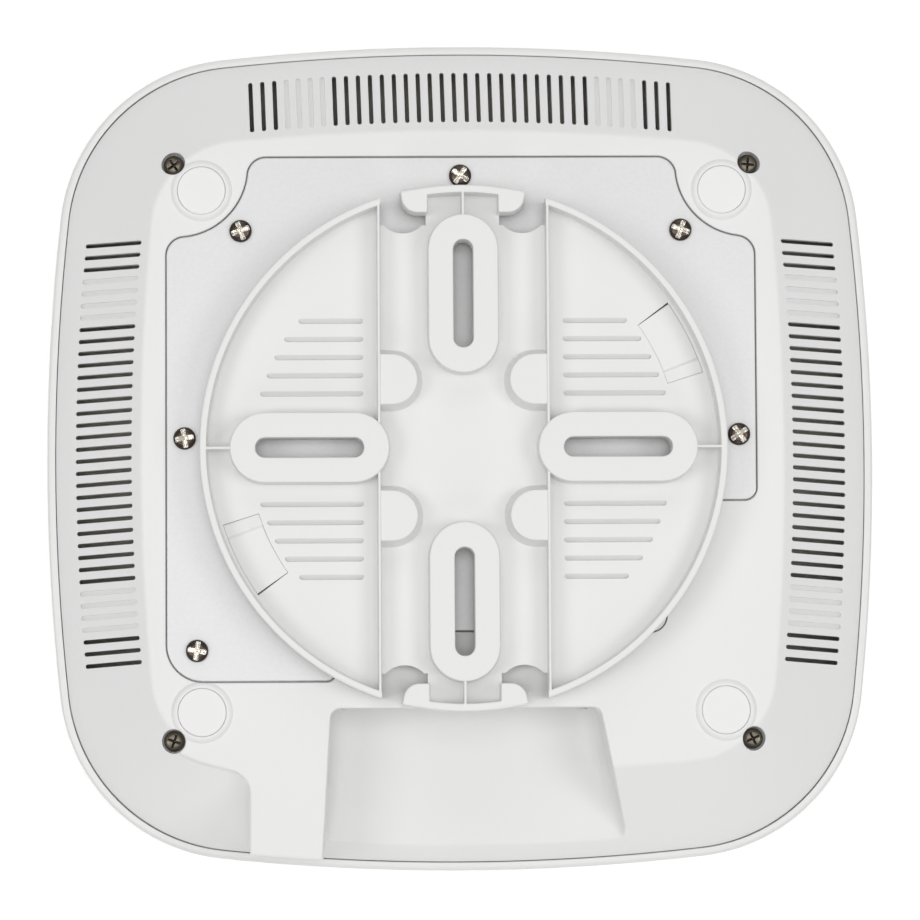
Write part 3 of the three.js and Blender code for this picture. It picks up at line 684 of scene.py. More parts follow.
def housing_layout():
    """rows of points along every edge of the outer and the inner face"""
    plan = Layout()
    plan.edge(SEAM, SEAM_RIM)
    for share in (0.25, 0.5, 0.75):
        width = SEAM_OUTLINE[0] - PLATEAU_OUTLINE[0]
        plan.add(PLATEAU.row(width * share)[::2])
    for offset in (-1, -0.5, 0, 0.5, 1):
        plan.add(PLATEAU.row(offset * PLATEAU_EDGE))
    plan.raised(EXTENSION, **EXTENSION_WALL)
    plan.add(EXTENSION_ROOM.row(0))
    for offset in wall_rows(**POCKET):
        plan.add(PLATE.row(PLATE_GAP + offset))
    plan.add(PLATE.row(GAP + WALL))
    plan.sunk(RECESS, **RECESS_WALL)
    for share in (0.05, 0.15, 0.3, 0.5, 0.75, 1):
        plan.add(RECESS_SIDES.row(-share * RECESS_FOOT[1]))
    brink = recess_brink()
    brink = brink[SEAM.depth(*brink.T) > 1]
    for shift in (-0.6, -0.3, 0, 0.3, 0.6):
        plan.add(brink + (0, shift), closed=False)
    plan.add(RECESS_OUTSIDE.row(0))
    plan.add(RECESS_OUTSIDE.row(-0.02))
    plan.add(HEAT_WINDOW.row(0))
    for foot in FEET:
        plan.sunk(foot, **FOOT_WALL)
        for offset in (-0.02, 0.02):
            plan.add(Disc(foot.x, foot.y, FOOT_STEM["radius"] + GAP + offset).row(0))
        for share in (0.3, 0.5, 0.7, 0.9, 1.08):
            plan.add(foot.row(FOOT_RING["width"] * share))
    for well in WELLS:
        plan.sunk(well, **WELL_WALL)
        plan.add(Disc(well.x, well.y, WELL_HOLE, 16).row(0))
        plan.add(Disc(well.x, well.y, WELL_BOSS["radius"], 24).row(0))
    screws = ((PLATE_SCREWS, PLATE_HOLE, PLATE_BOSS), (BOARD_SCREWS, BOARD_HOLE, BOARD_BOSS))
    for places, hole, boss in screws:
        for x, y in places:
            plan.add(Disc(x, y, hole, 14).row(0))
            plan.add(Disc(x, y, boss["radius"], 20).row(0))
    for offset in (-0.3, -0.2, -0.15, -0.1, 0.1, 0.15, 0.2, 0.3):
        plan.add(Disc(PLUG["x"], PLUG["y"], PLUG["radius"] + offset, 48).row(0))
    for slot, is_open in VENTS:
        if is_open:
            plan.hole(slot, VENT_RIM)
        else:
            plan.sunk(slot, **BLOCKED_WALL)
    return plan


def in_housing(x, y):
    """all within the seam, apart from the openings"""
    keep = (SEAM.depth(x, y) > 0) & (HEAT_WINDOW.depth(x, y) < 0)
    for slot, is_open in VENTS:
        if is_open:
            keep &= slot.depth(x, y) < 0
    for well in WELLS:
        keep &= np.hypot(x - well.x, y - well.y) > WELL_HOLE
    for px, py in PLATE_SCREWS:
        keep &= np.hypot(x - px, y - py) > PLATE_HOLE
    return keep


def bayonet_lug(start, end):
    """hooked post that stands on the pocket floor and reaches over a ledge of the bracket"""
    start, end = start + LUG["margin"], end - LUG["margin"]
    foot = sector(LUG["inner"], LUG["post"], start, end).points
    head = sector(LUG["inner"], LUG["outer"], start, end).points
    post = prism("lug", foot, POCKET_Z - 0.6, LUG["top"] - 0.3, [])
    return combined(post, [prism("tool", head, LUG["head_bottom"], LUG["top"], [])], "UNION")


def rear_housing():
    """the shell, with the port wall opened and the bayonet lugs joined on"""
    # the inner face takes the darker copy of the white, which is painted shade
    housing = sheet("rear_housing_shell", housing_layout(), in_housing, housing_top, housing_bottom,
                    [HOUSING, SHADED_INSIDE], under=1)
    low, high = RECESS_LEFT[0][0] + 2.4, RECESS_RIGHT[3][0] - 2
    tools = [block((low, high), (RECESS_BACK_Y - 0.05, PORT_WALL_Y), (RECESS_Z + 0.02, OVERHANG_Z))]
    half, upright = JACK["width"] / 2 + GAP, (ON_BOARD_Z - GAP, ON_BOARD_Z + JACK["height"] + GAP)
    for x in JACK_PLACES.values():
        tools.append(block((x - half, x + half), PORT_CUT_Y, upright))
    for (x, z), radius in ((DC_JACK, DC_JACK_HOLE), (RESET, RESET_HOLE)):
        profile = [(radius, PORT_CUT_Y[1]), (radius, PORT_CUT_Y[0])]
        tools.append(lathe("tool", profile, [], x, z, 24, axis="Y"))
    combined(housing, tools, "DIFFERENCE")
    combined(housing, [bayonet_lug(*span) for span in LEDGE_SPANS], "UNION")
    return finished(housing, "unit", "housing_plastic", "rear_housing")


rear_housing()


# ---- metal plate ---------------------------------------------------------------------------------
def metal_plate():
    """flat plate with holes for its screws and for the lugs"""
    plan = Layout()
    rim = 0.3
    plan.edge(PLATE, rim)
    holes = [Disc(x, y, 1.8, 16) for x, y in PLATE_SCREWS]
    holes += [sector(LUG["inner"] - GAP, LUG["outer"] + GAP, a + 1, b - 1) for a, b in LEDGE_SPANS]
    for hole in holes:
        plan.add(hole.row(0))

    def inside(x, y):
        keep = PLATE.depth(x, y) > 0
        for hole in holes:
            keep &= hole.depth(x, y) < 0
        return keep

    plate = sheet("metal_plate_painted", plan, inside,
                  lambda x, y: PLATE_TOP_Z - rim_drop(PLATE.depth(x, y), rim),
                  lambda x, y: np.full(len(x), PLATE_TOP_Z - PLATE_THICK), [PAINTED])
    return finished(plate, "unit", "painted_plate", "metal_plate")


metal_plate()


# ---- bracket -------------------------------------------------------------------------------------
RING_IN = Disc(0, 0, RING_RADIUS - RING_WALL, 180)
RING_OUT = Disc(0, 0, RING_RADIUS, 180)
FLOOR_WALL = dict(foot=0.5, rim=0.35, draft=0.12)
RING_WALL_SHAPE = dict(foot=0.6, rim=0.3, draft=0.15)
RIB_WALL = dict(foot=0.35, rim=0.2, draft=0.08)
SLOT_RIM = 0.4
RING_RIM = 0.45
BEYOND_RING = 66
PAD_WALL = dict(foot=0.25, rim=0.25, draft=PAD["slope"])
GROOVE_WALL = dict(foot=0.12, rim=0.12, draft=0.08)
BOSS_PLACES = [(*turned([(BOSS["place"], 0)], turn)[0], turn) for turn in (0, 90, 180, 270)]
BOSSES = [Bar(x, y, BOSS["length"], BOSS["width"], turn, 18) for x, y, turn in BOSS_PLACES]
SLOTS = [Bar(x, y, BOSS["slot_length"], BOSS["slot_width"], turn, 12) for x, y, turn in BOSS_PLACES]
QUARTERS = [(1, 1), (-1, 1), (-1, -1), (1, -1)]
CHORD_END = math.sqrt((RING_RADIUS - RING_WALL) ** 2 - CHORD_X ** 2) + 0.6    # a little into the ring
CUP = dict(half=9, start=52, end=62.8)
SPOKE_SPAN = (54, 63)


def strip(x0, y0, x1, y1):
    """plain rectangle between any two opposite corners"""
    (x0, x1), (y0, y1) = sorted((x0, x1)), sorted((y0, y1))
    return Path([(x0, y0), (x1, y0), (x1, y1), (x0, y1)])


def mirrored(points, sx, sy):
    """the outline of a quarter's piece, for the quarter with these signs"""
    shaped = [(sx * p[0], sy * p[1], *p[2:]) for p in points]
    return Path(shaped if sx * sy > 0 else shaped[::-1])


def hook_ear(sx, sy):
    """ear of the hook, with its outer foot corner rounded"""
    inner, outer, foot, top = HOOK["ear_inner"], HOOK["ear_outer"], HOOK["ear_foot"], 63
    points = [(inner, foot, 0.6), (outer, foot, HOOK["ear_radius"]), (outer, top), (inner, top)]
    return mirrored(points, sx, sy)


def pad_outline(sx, sy):
    """U-shaped pad, open towards the straight rib"""
    x, y, radius = PAD["x"], PAD["y"], PAD["radius"]
    bow = arc(radius, 90, 270, 24, (x, y))
    return mirrored([(CHORD_X + 1, y + radius), *bow, (CHORD_X + 1, y - radius)], sx, sy)


def grooves():
    """five grooves in each of the four pans"""
    rows = []
    for k, end in enumerate(GROOVES["outer"]):
        y = GROOVES["first"] + GROOVES["pitch"] * k
        middle, length = (GROOVES["inner"] + end) / 2, end - GROOVES["inner"]
        rows += [Bar(sx * middle, sy * y, length, GROOVES["width"], 0, 3) for sx, sy in QUARTERS]
    return rows


HOOK_BARS = [sector(HOOK["inner"], RING_RADIUS, middle - HOOK["half_angle"], middle + HOOK["half_angle"])
             for middle in (90, 270)]
EARS = [hook_ear(sx, sy) for sx, sy in QUARTERS]
CUPS = [strip(-CUP["half"], sy * CUP["start"], CUP["half"], sy * CUP["end"]) for sy in (1, -1)]
CUP_RIBS = [strip(-RIB / 2, sy * CHANNEL_END, RIB / 2, sy * CUP["end"]) for sy in (1, -1)]
CHORDS = [strip(sx * CHORD_X - RIB / 2, -CHORD_END, sx * CHORD_X + RIB / 2, CHORD_END) for sx in (1, -1)]
SPOKES = [strip(sx * SPOKE_SPAN[0], -RIB / 2, sx * SPOKE_SPAN[1], RIB / 2) for sx in (1, -1)]
PADS = [pad_outline(sx, sy) for sx, sy in QUARTERS]
PAN_GROOVES = grooves()
NOTCHES = [Disc(sx * NOTCH["x"], sy * NOTCH["y"], NOTCH["radius"], 60) for sx, sy in QUARTERS]
CHANNEL = strip(-CHORD_X, -CHANNEL_END, CHORD_X, CHANNEL_END)
WINDOW_GAP = 0.03
SLIT = (0.1, 0.42)                  # width in degrees of the slit at a finger's free end, inner and outer
FINGER_RIM = 0.15
FINGER_DROPS = (0.35, 0.05, 0.5, 0.1)   # depth under the pan at the root, over the step, and at the tip
BUMP = dict(inner=54, outer=60, span=2, end=-10.4)


def finger_window(turn):
    """opening round a finger: thin gaps at its sides, and a slit that widens outwards at its free end"""
    inner, outer = FINGER["inner"] - WINDOW_GAP, FINGER["outer"] + WINDOW_GAP
    start, end = FINGER["start"] - 0.06 + turn, FINGER["end"] + turn
    return Path([*arc(outer, start, end + SLIT[1], 18), *arc(inner, end + SLIT[0], start, 18)])


WINDOWS = [finger_window(turn) for turn in (0, 180)]


def in_bracket(x, y):
    """the pans, the channel between them and the hooks, less the slots and finger windows"""
    radius = np.hypot(x, y)
    keep = (radius < RING_RADIUS) & (np.abs(x) > CHORD_X - RIB / 2)
    channel = CHANNEL.depth(x, y) > 0
    for notch in NOTCHES:
        channel &= notch.depth(x, y) < 0
    keep |= channel
    for part in (*HOOK_BARS, *EARS, *CUPS):
        keep |= (part.depth(x, y) > 0) & (radius < RING_RADIUS)
    for hole in (*SLOTS, *WINDOWS):
        keep &= hole.depth(x, y) < 0
    return keep


def bracket_top(x, y):
    """the ceiling side: pan floors with the ring, ribs, pads, bosses and hooks standing on them"""
    z = np.full(len(x), float(FLOOR_Z))
    side = np.abs(x) > CHORD_X - RIB / 2 - 0.01
    ring = wall(-RING_IN.depth(x, y), FLOOR_Z, RIM_Z, **RING_WALL_SHAPE)
    z = np.where(side, np.maximum(z, ring), z)
    for rib in (*CHORDS, *SPOKES, *CUP_RIBS):
        z = np.maximum(z, wall(rib.depth(x, y), FLOOR_Z, RIM_Z, **RIB_WALL))
    for pad in PADS:
        depth = np.where(np.abs(x) < CHORD_X, pad.depth(x, y), -8)
        z = np.maximum(z, wall(depth, FLOOR_Z, PAD["top"], **PAD_WALL))
    for boss in BOSSES:
        z = np.maximum(z, wall(boss.depth(x, y), FLOOR_Z, 0, **FLOOR_WALL))
    for part in (*EARS, *HOOK_BARS):
        z = np.maximum(z, wall(part.depth(x, y), FLOOR_Z, RIM_Z, **FLOOR_WALL))
    for groove in PAN_GROOVES:
        some = near(groove, x, y, 1)
        away = -groove.depth(x[some], y[some])
        share = np.clip(0.5 - (y[some] - groove.y) / GROOVES["width"], 0, 1)
        ramp = FLOOR_Z - GROOVES["depth"] * (0.1 + 0.9 * share)
        z[some] = np.minimum(z[some], wall(away, ramp, z[some], **GROOVE_WALL))
    for slot in SLOTS:
        z = z - rim_drop(-slot.depth(x, y), SLOT_RIM)
    return z - np.where(z > FLOOR_Z + 1, rim_drop(RING_OUT.depth(x, y), RING_RIM), 0)


def bracket_bottom(x, y):
    """the underside, cored out under the bosses and pads"""
    z = np.full(len(x), float(UNDER_Z))
    for boss, slot in zip(BOSSES, SLOTS):
        hollow = (boss.depth(x, y) > CORE_WALL) & (slot.depth(x, y) < -CORE_WALL)
        z = np.where(hollow, -CORE_WALL, z)
    for pad in PADS:
        cored = (pad.depth(x, y) > CORE_WALL + 0.6) & (np.abs(x) < CHORD_X - CORE_WALL)
        z = np.where(cored, PAD["top"] - CORE_WALL, z)
    wide = np.abs(x) > CHORD_X - RIB / 2
    ring = (np.hypot(x, y) > RING_RADIUS - RING_WALL - 0.001) & wide
    for part in HOOK_BARS:
        ring |= part.depth(x, y) > -0.001
    return np.where(ring, RING_END_Z, z)


def bracket_layout():
    """rows of points along every edge of the bracket"""
    plan = Layout()
    plan.sunk(RING_IN, **RING_WALL_SHAPE)
    plan.edge(RING_OUT, RING_RIM)
    for rib in (*CHORDS, *SPOKES, *CUP_RIBS):
        plan.raised(rib, **RIB_WALL)
    for pad in PADS:
        plan.raised(pad, **PAD_WALL)
        plan.add(pad.row(-CORE_WALL - 0.6))
    for boss, slot in zip(BOSSES, SLOTS):
        plan.raised(boss, **FLOOR_WALL)
        plan.add(boss.row(-CORE_WALL))
        plan.add(slot.row(CORE_WALL))
        plan.hole(slot, SLOT_RIM)
    for part in (*EARS, *HOOK_BARS):
        plan.raised(part, **FLOOR_WALL)
        plan.add(part.row(0.001))
    for part in (*CUPS, *NOTCHES, *WINDOWS, CHANNEL):
        plan.add(part.row(0))
    for sx in (-1, 1):
        for x in (CHORD_X - RIB / 2, CHORD_X - CORE_WALL):
            plan.add([(sx * x, -BEYOND_RING), (sx * x, BEYOND_RING)], closed=False)
    for groove in PAN_GROOVES:
        plan.sunk(groove, **GROOVE_WALL)
    return plan


def mounting_bracket():
    """the moulding, with the bayonet ledges joined on"""
    bracket = sheet("mounting_bracket_moulding", bracket_layout(), in_bracket, bracket_top,
                    bracket_bottom, [WHITE])
    outlines = [sector(LEDGE["inner"], RING_RADIUS - 1, *span).points for span in LEDGE_SPANS]
    ledges = [prism("ledge", outline, LEDGE["bottom"], LEDGE["top"], []) for outline in outlines]
    combined(bracket, ledges, "UNION")
    return finished(bracket, "bracket", "bracket_plastic", "mounting_bracket")


mounting_bracket()


def latch_finger(name, node, body, turn):
    """a tongue with a step near its root and a detent bump under its free end"""
    start, end = FINGER["start"], FINGER["end"]
    outline = sector(FINGER["inner"], FINGER["outer"], start + turn, end + turn, 1)
    plan = Layout()
    plan.edge(outline, FINGER_RIM)
    root = start + 3
    for angle in (root, root + 0.3, root + 0.6, 25, 30):
        ray = arc(1, angle + turn, angle + turn, 0)[0]
        plan.add([ray * FINGER["inner"], ray * FINGER["outer"]], closed=False)

    def top(x, y):
        angle = (np.degrees(np.arctan2(y, x)) - turn) % 360
        levels = [FLOOR_Z - drop for drop in FINGER_DROPS]
        level = np.interp(angle, [start, root, root + 0.6, end], levels)
        return level - rim_drop(outline.depth(x, y), FINGER_RIM)

    finger = tile(name, plan, outline, top, UNDER_Z, [WHITE])
    foot = sector(BUMP["inner"], BUMP["outer"], end - BUMP["span"] + turn, end - 0.1 + turn).points
    bump = prism("bump", foot, BUMP["end"], UNDER_Z + 0.5, [])
    combined(finger, [bump], "UNION")
    return finished(finger, body, "bracket_plastic", node)


latch_finger("latch_finger_right_tongue", "latch_finger_right", "finger_right", 0)
latch_finger("latch_finger_left_tongue", "latch_finger_left", "finger_left", 180)


# ---- front cover ---------------------------------------------------------------------------------
# profiles of (radius, height)
POST = [(3.8, -45.3), (3.8, -20.2)]
POST_BORE = [(1.35, -36), (1.35, -19)]
LIGHT_BORE = [(1.8, -48), (1.8, -44)]


def cover_ring(half, z):
    """one level of the cover; small levels shrink instead of moving in, so that they stay round"""
    outline = Squircle(COVER_OUTLINE, 16, 24)
    least = 60
    if half >= least:
        points = outline.row(half - outline.half)
    else:
        points = outline.row(least - outline.half) * half / least
    return np.column_stack([points, np.full(len(points), float(z))])


def smooth_line(points, pieces=4):
    """a curve through the points of a profile"""
    points = np.array(points, float)
    ends = np.concatenate([[2 * points[0] - points[1]], points, [2 * points[-1] - points[-2]]])
    line = []
    for a, b, c, d in zip(ends, ends[1:], ends[2:], ends[3:]):
        for t in np.linspace(0, 1, pieces, endpoint=False):
            line.append(0.5 * (2 * b + (c - a) * t + (2 * a - 5 * b + 4 * c - d) * t * t
                               + (3 * b - a - 3 * c + d) * t ** 3))
    return [*line, points[-1]]


def front_cover():
    """the room-side shell, with screw posts and the hole of the indicator"""
    outer = smooth_line([(20, FRONT_Z), (60, -46.98), (78, -46.6), (90, -45.5), (97.4, -43.6), (102, -40.6),
                         (103.5, -37.4), (103.5, -35.4)])
    outer = [(min(half, COVER_OUTLINE[0]), max(z, FRONT_Z)) for half, z in outer]
    lip = [(103.4, -35), (103.1, -34.68), (102.7, -34.55), (101.75, -34.55), (101.5, -34.65), (101.4, -34.9),
           (101.4, -36.8), (99.2, -36.9)]
    inner = smooth_line([(98.6, -39), (94.8, -41.8), (87.5, -43.5), (76, -44.6), (60, -45), (20, -45)])
    profile = [*outer, *lip, *inner]
    first_inside = len(outer) + len(lip) - 1
    # the inner profile takes the darker copy of the white, which is painted shade
    marks = [0 if i < first_inside else 1 for i in range(len(profile) - 1)]
    cover = loft("front_cover_shell", [cover_ring(*level) for level in profile], [COVER, SHADED_INSIDE], marks)
    posts = [lathe("post", POST, [], w.x, w.y, 24) for w in WELLS]
    combined(cover, posts, "UNION")
    bores = [lathe("bore", POST_BORE, [], w.x, w.y, 16) for w in WELLS]
    bores.append(lathe("bore", LIGHT_BORE, [], 0, LIGHT_PIPE_Y, 24))
    combined(cover, bores, "DIFFERENCE")
    return finished(cover, "unit", "cover_plastic", "front_cover")


front_cover()


# ---- screws and feet -----------------------------------------------------------------------------
# places as shares of the head's radius, and levels there as shares of its height
HEAD_DOME = ([0, 0.3, 0.6, 0.7, 0.8, 0.87, 0.95, 0.985, 1],
             [1, 0.98, 0.93, 0.88, 0.8, 0.71, 0.55, 0.45, 0.35])
RECESS_FLOOR = ([0, 0.28, 0.8], [0.1, 0.4, 0.75])


def cross(x, y, reach, width, degrees):
    """outline of a cross recess"""
    half = width / 2
    corners = []
    for k in range(4):
        quarter = [(reach, -half, 0.12), (reach, half, 0.12), (half, half)]
        corners += [(*turned([p[:2]], 90 * k + degrees)[0] + (x, y), *p[2:]) for p in quarter]
    return Path(corners, 30)


def screw(name, node, place, seat, size, degrees, finish):
    """pan head with a cross recess, on a shank with a conical tip"""
    x, y = place
    head, height, shank = size["head"], size["height"], size["shank"]
    recess = cross(x, y, head * size["reach"], head * size["arm"], degrees)
    cut = dict(foot=0.05, rim=0.1, draft=size["slope"])
    plan = Layout()
    for share in HEAD_DOME[0][:1:-1]:
        plan.add(Disc(x, y, head * share, 40).row(0))
    for radius in (shank, shank + 0.08, shank * 0.6):
        plan.add(Disc(x, y, radius, 20).row(0))
    for offset in wall_rows(**cut):
        plan.add(recess.row(offset - size["slope"]))

    def top(px, py):
        share = np.hypot(px - x, py - y) / head
        surface = seat + height * np.interp(share, *HEAD_DOME)
        floor = seat + height * np.interp(share, *RECESS_FLOOR)
        return np.minimum(surface, wall(-recess.depth(px, py) + size["slope"], floor, surface, **cut))

    def bottom(px, py):
        away = np.hypot(px - x, py - y)
        point = np.interp(away, [shank * 0.6, shank], [size["tip"], size["tip"] + 0.7])
        return np.where(away > shank + 0.04, float(seat), point)

    rim = Disc(x, y, head)
    piece = sheet(name, plan, lambda px, py: rim.depth(px, py) > 0, top, bottom, [finish, BRIGHT])
    middle = np.array([p.center for p in piece.data.polygons]) / MM
    normal = np.array([p.normal for p in piece.data.polygons])
    inside = recess.depth(middle[:, 0], middle[:, 1]) > -0.1
    bright = inside & (normal[:, 2] > 0.01) & (normal[:, 2] < size["bright_below"])
    piece.data.polygons.foreach_set("material_index", bright.astype(np.int32))
    piece["smooth"] = SCREW_SMOOTH
    return finished(piece, "unit", "screw_steel", node)


SCREW_TURNS = [20, 70, 55, 10, 35, 80]
PLATE_SCREW = dict(head=2.75, height=1.7, shank=1.35, tip=-17.5, reach=0.8, arm=0.36, slope=0.3,
                   bright_below=0.97)
CORNER_SCREW = dict(head=2.55, height=1.7, shank=1.05, tip=-33, reach=0.66, arm=0.2, slope=0.16,
                    bright_below=0)
for i, place in enumerate(PLATE_SCREWS):
    screw(f"plate_screw_head_{i + 1}", f"plate_screw_{i + 1}", place, PLATE_TOP_Z + 0.1, PLATE_SCREW,
          SCREW_TURNS[i], DARK_NICKEL)
for i, well in enumerate(WELLS):
    screw(f"corner_screw_head_{i + 1}", f"corner_screw_{i + 1}", (well.x, well.y), WELL_FLOOR_Z + 0.2,
          CORNER_SCREW, SCREW_TURNS[i] + 15, STEEL)

STEM_RADIUS, STEM_END = FOOT_STEM["radius"], FOOT_STEM["end"]
FOOT_PROFILE = [(4.5, STEM_END), (STEM_RADIUS, STEM_END + 0.3), (STEM_RADIUS, -10.7), (5.84, -10.68),
                (5.89, -10.6), (5.89, -10.3), (5.82, -10.18), (5.6, -10.1), (5.3, -10.03), (4.8, -10),
                (2.5, -10)]
for i, foot in enumerate(FEET):
    pad = lathe(f"foot_pad_{i + 1}", FOOT_PROFILE, [RUBBER], foot.x, foot.y, 56)
    finished(pad, "unit", "foot_rubber", f"rubber_foot_{i + 1}")


# ---- sockets behind the port wall ----------------------------------------------------------------
# each is drawn flat, in x and z, and then stood up so that its height points towards -Y
TO_PORT_WALL = Matrix(((1, 0, 0, 0), (0, 0, -1, 0), (0, 1, 0, 0), (0, 0, 0, 1)))
SOCKET_RIM = 0.3
MOUTH_WALL = dict(foot=0.2, rim=0.3, draft=0.15)
CONTACTS = dict(count=8, pitch=1.02, half_width=0.18, half_thick=0.1)
DC_BODY = dict(half=4.6, height=11, mouth=3.2, pin=1, back=44.8, floor=49.8, pin_end=57.8, front=58.8)
DC_MOUTH_WALL = dict(foot=0.1, rim=0.35, draft=0.1)
DC_PIN_WALL = dict(foot=0.1, rim=0.4, draft=0.05)


def ethernet_jack(node, x):
    """metal-clad socket with a stepped mouth and eight sprung contacts"""
    half, z = JACK["width"] / 2, ON_BOARD_Z
    mouth_half, mouth_low, mouth_high = JACK["mouth"] / 2, z + JACK["mouth_low"], z + JACK["mouth_high"]
    face = Path([(x - half, z, 0.3), (x + half, z, 0.3), (x + half, z + JACK["height"], 0.3),
                 (x - half, z + JACK["height"], 0.3)])
    mouth = Path([
        (x - mouth_half, mouth_low + 1.8, 0.2), (x - 3, mouth_low + 1.8), (x - 3, mouth_low + 0.9, 0.2),
        (x - 1.6, mouth_low + 0.9), (x - 1.6, mouth_low, 0.2), (x + 1.6, mouth_low, 0.2),
        (x + 1.6, mouth_low + 0.9), (x + 3, mouth_low + 0.9, 0.2), (x + 3, mouth_low + 1.8),
        (x + mouth_half, mouth_low + 1.8, 0.2), (x + mouth_half, mouth_high, 0.2),
        (x - mouth_half, mouth_high, 0.2),
    ])
    plan = Layout()
    plan.edge(face, SOCKET_RIM)
    plan.sunk(mouth, **MOUTH_WALL)
    front, back = -JACK["face"], -JACK["face"] - JACK["depth"]

    def top(px, pz):
        cut = wall(-mouth.depth(px, pz), front - JACK["reach"], front, **MOUTH_WALL)
        return cut - rim_drop(face.depth(px, pz), SOCKET_RIM)

    jack = tile(f"{node}_shell", plan, face, top, back, [TINNED, BLACK])
    for polygon in jack.data.polygons:
        middle = polygon.center / MM
        deep = mouth.depth(np.array([middle.x]), np.array([middle.y]))[0] > -0.1
        polygon.material_index = 1 if deep and middle.z < front - 0.35 else 0
    jack.data.transform(TO_PORT_WALL)
    finished(jack, "unit", "tinned_steel", node)

    verts, faces = [], []
    wide, thick = CONTACTS["half_width"], CONTACTS["half_thick"]
    for k in range(CONTACTS["count"]):
        cx = x + (k - (CONTACTS["count"] - 1) / 2) * CONTACTS["pitch"]
        line = [(JACK["face"] + 1.2, mouth_high - 0.35), (JACK["face"] + 2, mouth_high - 0.2),
                (JACK["face"] + 9.5, mouth_high - 3.6), (JACK["face"] + 12.5, mouth_high - 3.7)]
        start = len(verts)
        for y, level in line:
            verts += [(cx - wide, y, level - thick), (cx + wide, y, level - thick),
                      (cx + wide, y, level + thick), (cx - wide, y, level + thick)]
        for s in range(len(line) - 1):
            a = start + 4 * s
            faces += [(a + q, a + (q + 1) % 4, a + 4 + (q + 1) % 4, a + 4 + q) for q in range(4)]
        last = start + 4 * (len(line) - 1)
        faces += [(start + 3, start + 2, start + 1, start), (last, last + 1, last + 2, last + 3)]
    contacts = mesh_object(f"{node}_contacts", verts, [f[::-1] for f in faces], [GOLD])
    finished(contacts, "unit", "tinned_steel")


for node, x in JACK_PLACES.items():
    ethernet_jack(node, x)


def dc_jack():
    """power socket: a block with a round mouth and a centre pin"""
    x, z = DC_JACK
    half, height, front = DC_BODY["half"], ON_BOARD_Z + DC_BODY["height"], DC_BODY["front"]
    face = Path([(x - half, ON_BOARD_Z, 0.5), (x + half, ON_BOARD_Z, 0.5), (x + half, height, 2.5),
                 (x - half, height, 2.5)])
    mouth, pin = Disc(x, z, DC_BODY["mouth"], 32), Disc(x, z, DC_BODY["pin"], 20)
    plan = Layout()
    plan.edge(face, SOCKET_RIM)
    plan.sunk(mouth, **DC_MOUTH_WALL)
    plan.raised(pin, **DC_PIN_WALL)

    def top(px, pz):
        cut = wall(-mouth.depth(px, pz), DC_BODY["floor"], front, **DC_MOUTH_WALL)
        raised = np.maximum(cut, wall(pin.depth(px, pz), cut, DC_BODY["pin_end"], **DC_PIN_WALL))
        return raised - rim_drop(face.depth(px, pz), SOCKET_RIM)

    socket = tile("dc_jack_body", plan, face, top, DC_BODY["back"], [BLACK, TINNED])
    for polygon in socket.data.polygons:
        middle = polygon.center / MM
        on_pin = math.hypot(middle.x - x, middle.y - z) < DC_BODY["pin"] + 0.1
        if on_pin and middle.z > DC_BODY["floor"] + 0.4:
            polygon.material_index = 1
    socket.data.transform(TO_PORT_WALL)
    return finished(socket, "unit", "black_plastic", "dc_jack")


dc_jack()
RESET_PROFILE = [(0.6, -55.8), (1.1, -55.85), (1.2, -56), (1.2, -60), (1.05, -60.3), (0.5, -60.4)]
plunger = lathe("reset_plunger_tip", RESET_PROFILE, [BLACK], *RESET, 24, axis="Y")
finished(plunger, "reset_plunger", "black_plastic", "reset_button")

# ---- carried-over nodes --------------------------------------------------------------------------
KEPT = {
    "main_board": BOARD, "processor_shield": TINNED, "radio_shield": TINNED, "lower_thermal_pad": SOFT_GREY,
    "upper_thermal_pad": SOFT_GREY, "heatsink_block": MILLED, "board_screw": STEEL, "reset_switch": BLACK,
    "power_transformer": BLACK, "power_inductor": BLACK, "capacitor": TINNED, "antenna": TINNED,
    "status_led": CLEAR, "light_pipe": CLEAR,
}
for name, piece in NODES.items():
    for start, look in KEPT.items():
        if name.startswith(start):
            piece.data.materials.clear()
            piece.data.materials.append(look)

# ---- floor, light and camera ---------------------------------------------------------------------
scene = bpy.context.scene
scene.view_settings.view_transform = "Standard"
WORLD_LIGHT, FLOOR_GLOW = 0.31, 0.22


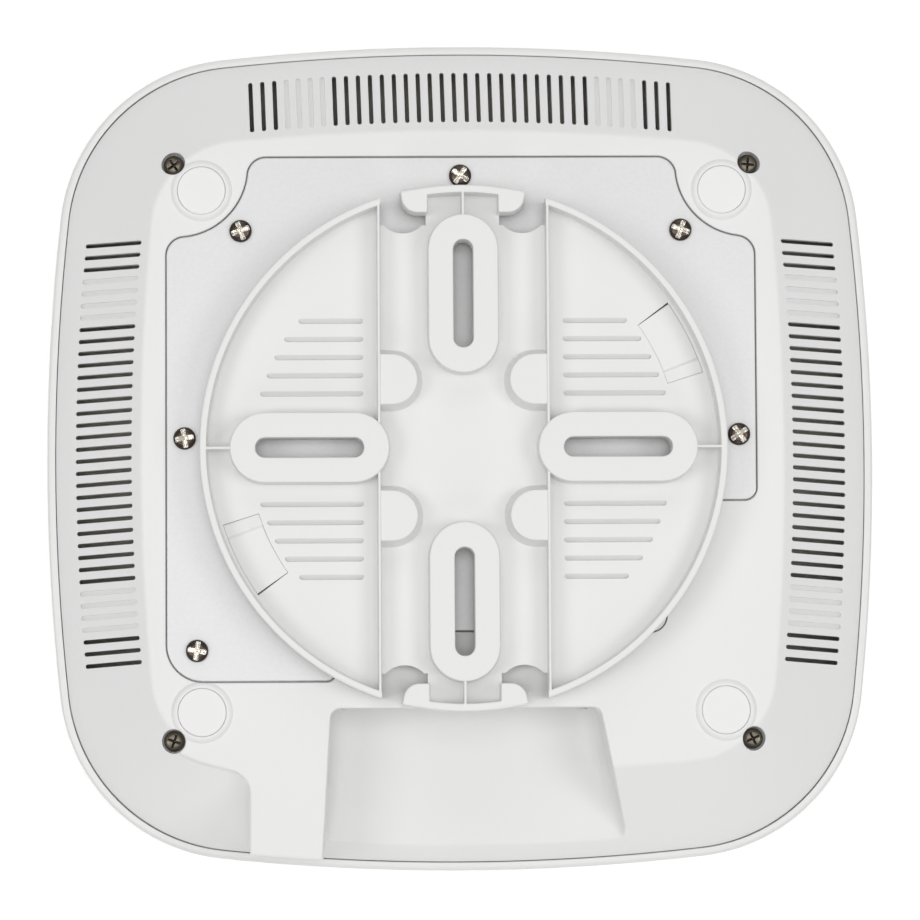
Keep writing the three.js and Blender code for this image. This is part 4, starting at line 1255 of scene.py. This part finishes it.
def studio_floor():
    """a wide pale floor"""
    size, level = 3000, FRONT_Z - 0.05
    verts = [(-size, -size, level), (size, -size, level), (size, size, level), (-size, size, level)]
    floor = mesh_object("studio_floor", verts, [(0, 1, 2, 3)],
                        [material("floor_white", (0.95, 0.95, 0.95), 0.9, bump=0, mottle=0.002)])
    shader = floor.data.materials[0].node_tree.nodes["Principled BSDF"]
    shader.inputs["Emission Color"].default_value = (1, 1, 1, 1)
    shader.inputs["Emission Strength"].default_value = FLOOR_GLOW


studio_floor()
world = bpy.data.worlds.new("studio")
scene.world = world
world.use_nodes = True
world.node_tree.nodes["Background"].inputs["Color"].default_value = (1, 1, 1, 1)
world.node_tree.nodes["Background"].inputs["Strength"].default_value = WORLD_LIGHT


def area_light(name, place, size, power):
    """square soft light aimed at the object"""
    light = bpy.data.lights.new(name, "AREA")
    light.size, light.energy = size, power
    lamp = bpy.data.objects.new(name, light)
    lamp.location = place
    lamp.rotation_euler = (-Vector(place)).to_track_quat("-Z", "Y").to_euler()
    scene.collection.objects.link(lamp)


area_light("overhead", (0, 0, 1.7), 1, 6.9)
area_light("left", (-1, -0.15, 1.35), 0.7, 6.7)
area_light("right", (1, -0.15, 1.35), 0.7, 6.9)
area_light("front", (0, -1.3, 0.8), 0.8, 3)
area_light("back", (0, 1.2, 0.9), 0.8, 3)

CAMERA_PLACE = Vector((-26.6, -71.0, 1047.5)) * MM
CAMERA_TURN = Euler((-0.0646, 0.0244, 0.0054))
FOCAL_PIXELS = 4327.15
PICTURE_WIDTH = 920
camera = bpy.data.cameras.new("camera")
camera.sensor_width = 36
camera.lens = FOCAL_PIXELS * camera.sensor_width / PICTURE_WIDTH
camera.clip_end = 20
eye = bpy.data.objects.new("camera", camera)
turn = Matrix.Rotation(CAMERA_TURN.z, 3, "Z") @ Matrix.Rotation(CAMERA_TURN.x, 3, "X") \
    @ Matrix.Rotation(CAMERA_TURN.y, 3, "Y")
eye.matrix_world = Matrix.Translation(CAMERA_PLACE) @ turn.transposed().to_4x4()
scene.collection.objects.link(eye)
scene.camera = eye

bpy.context.view_layer.update()
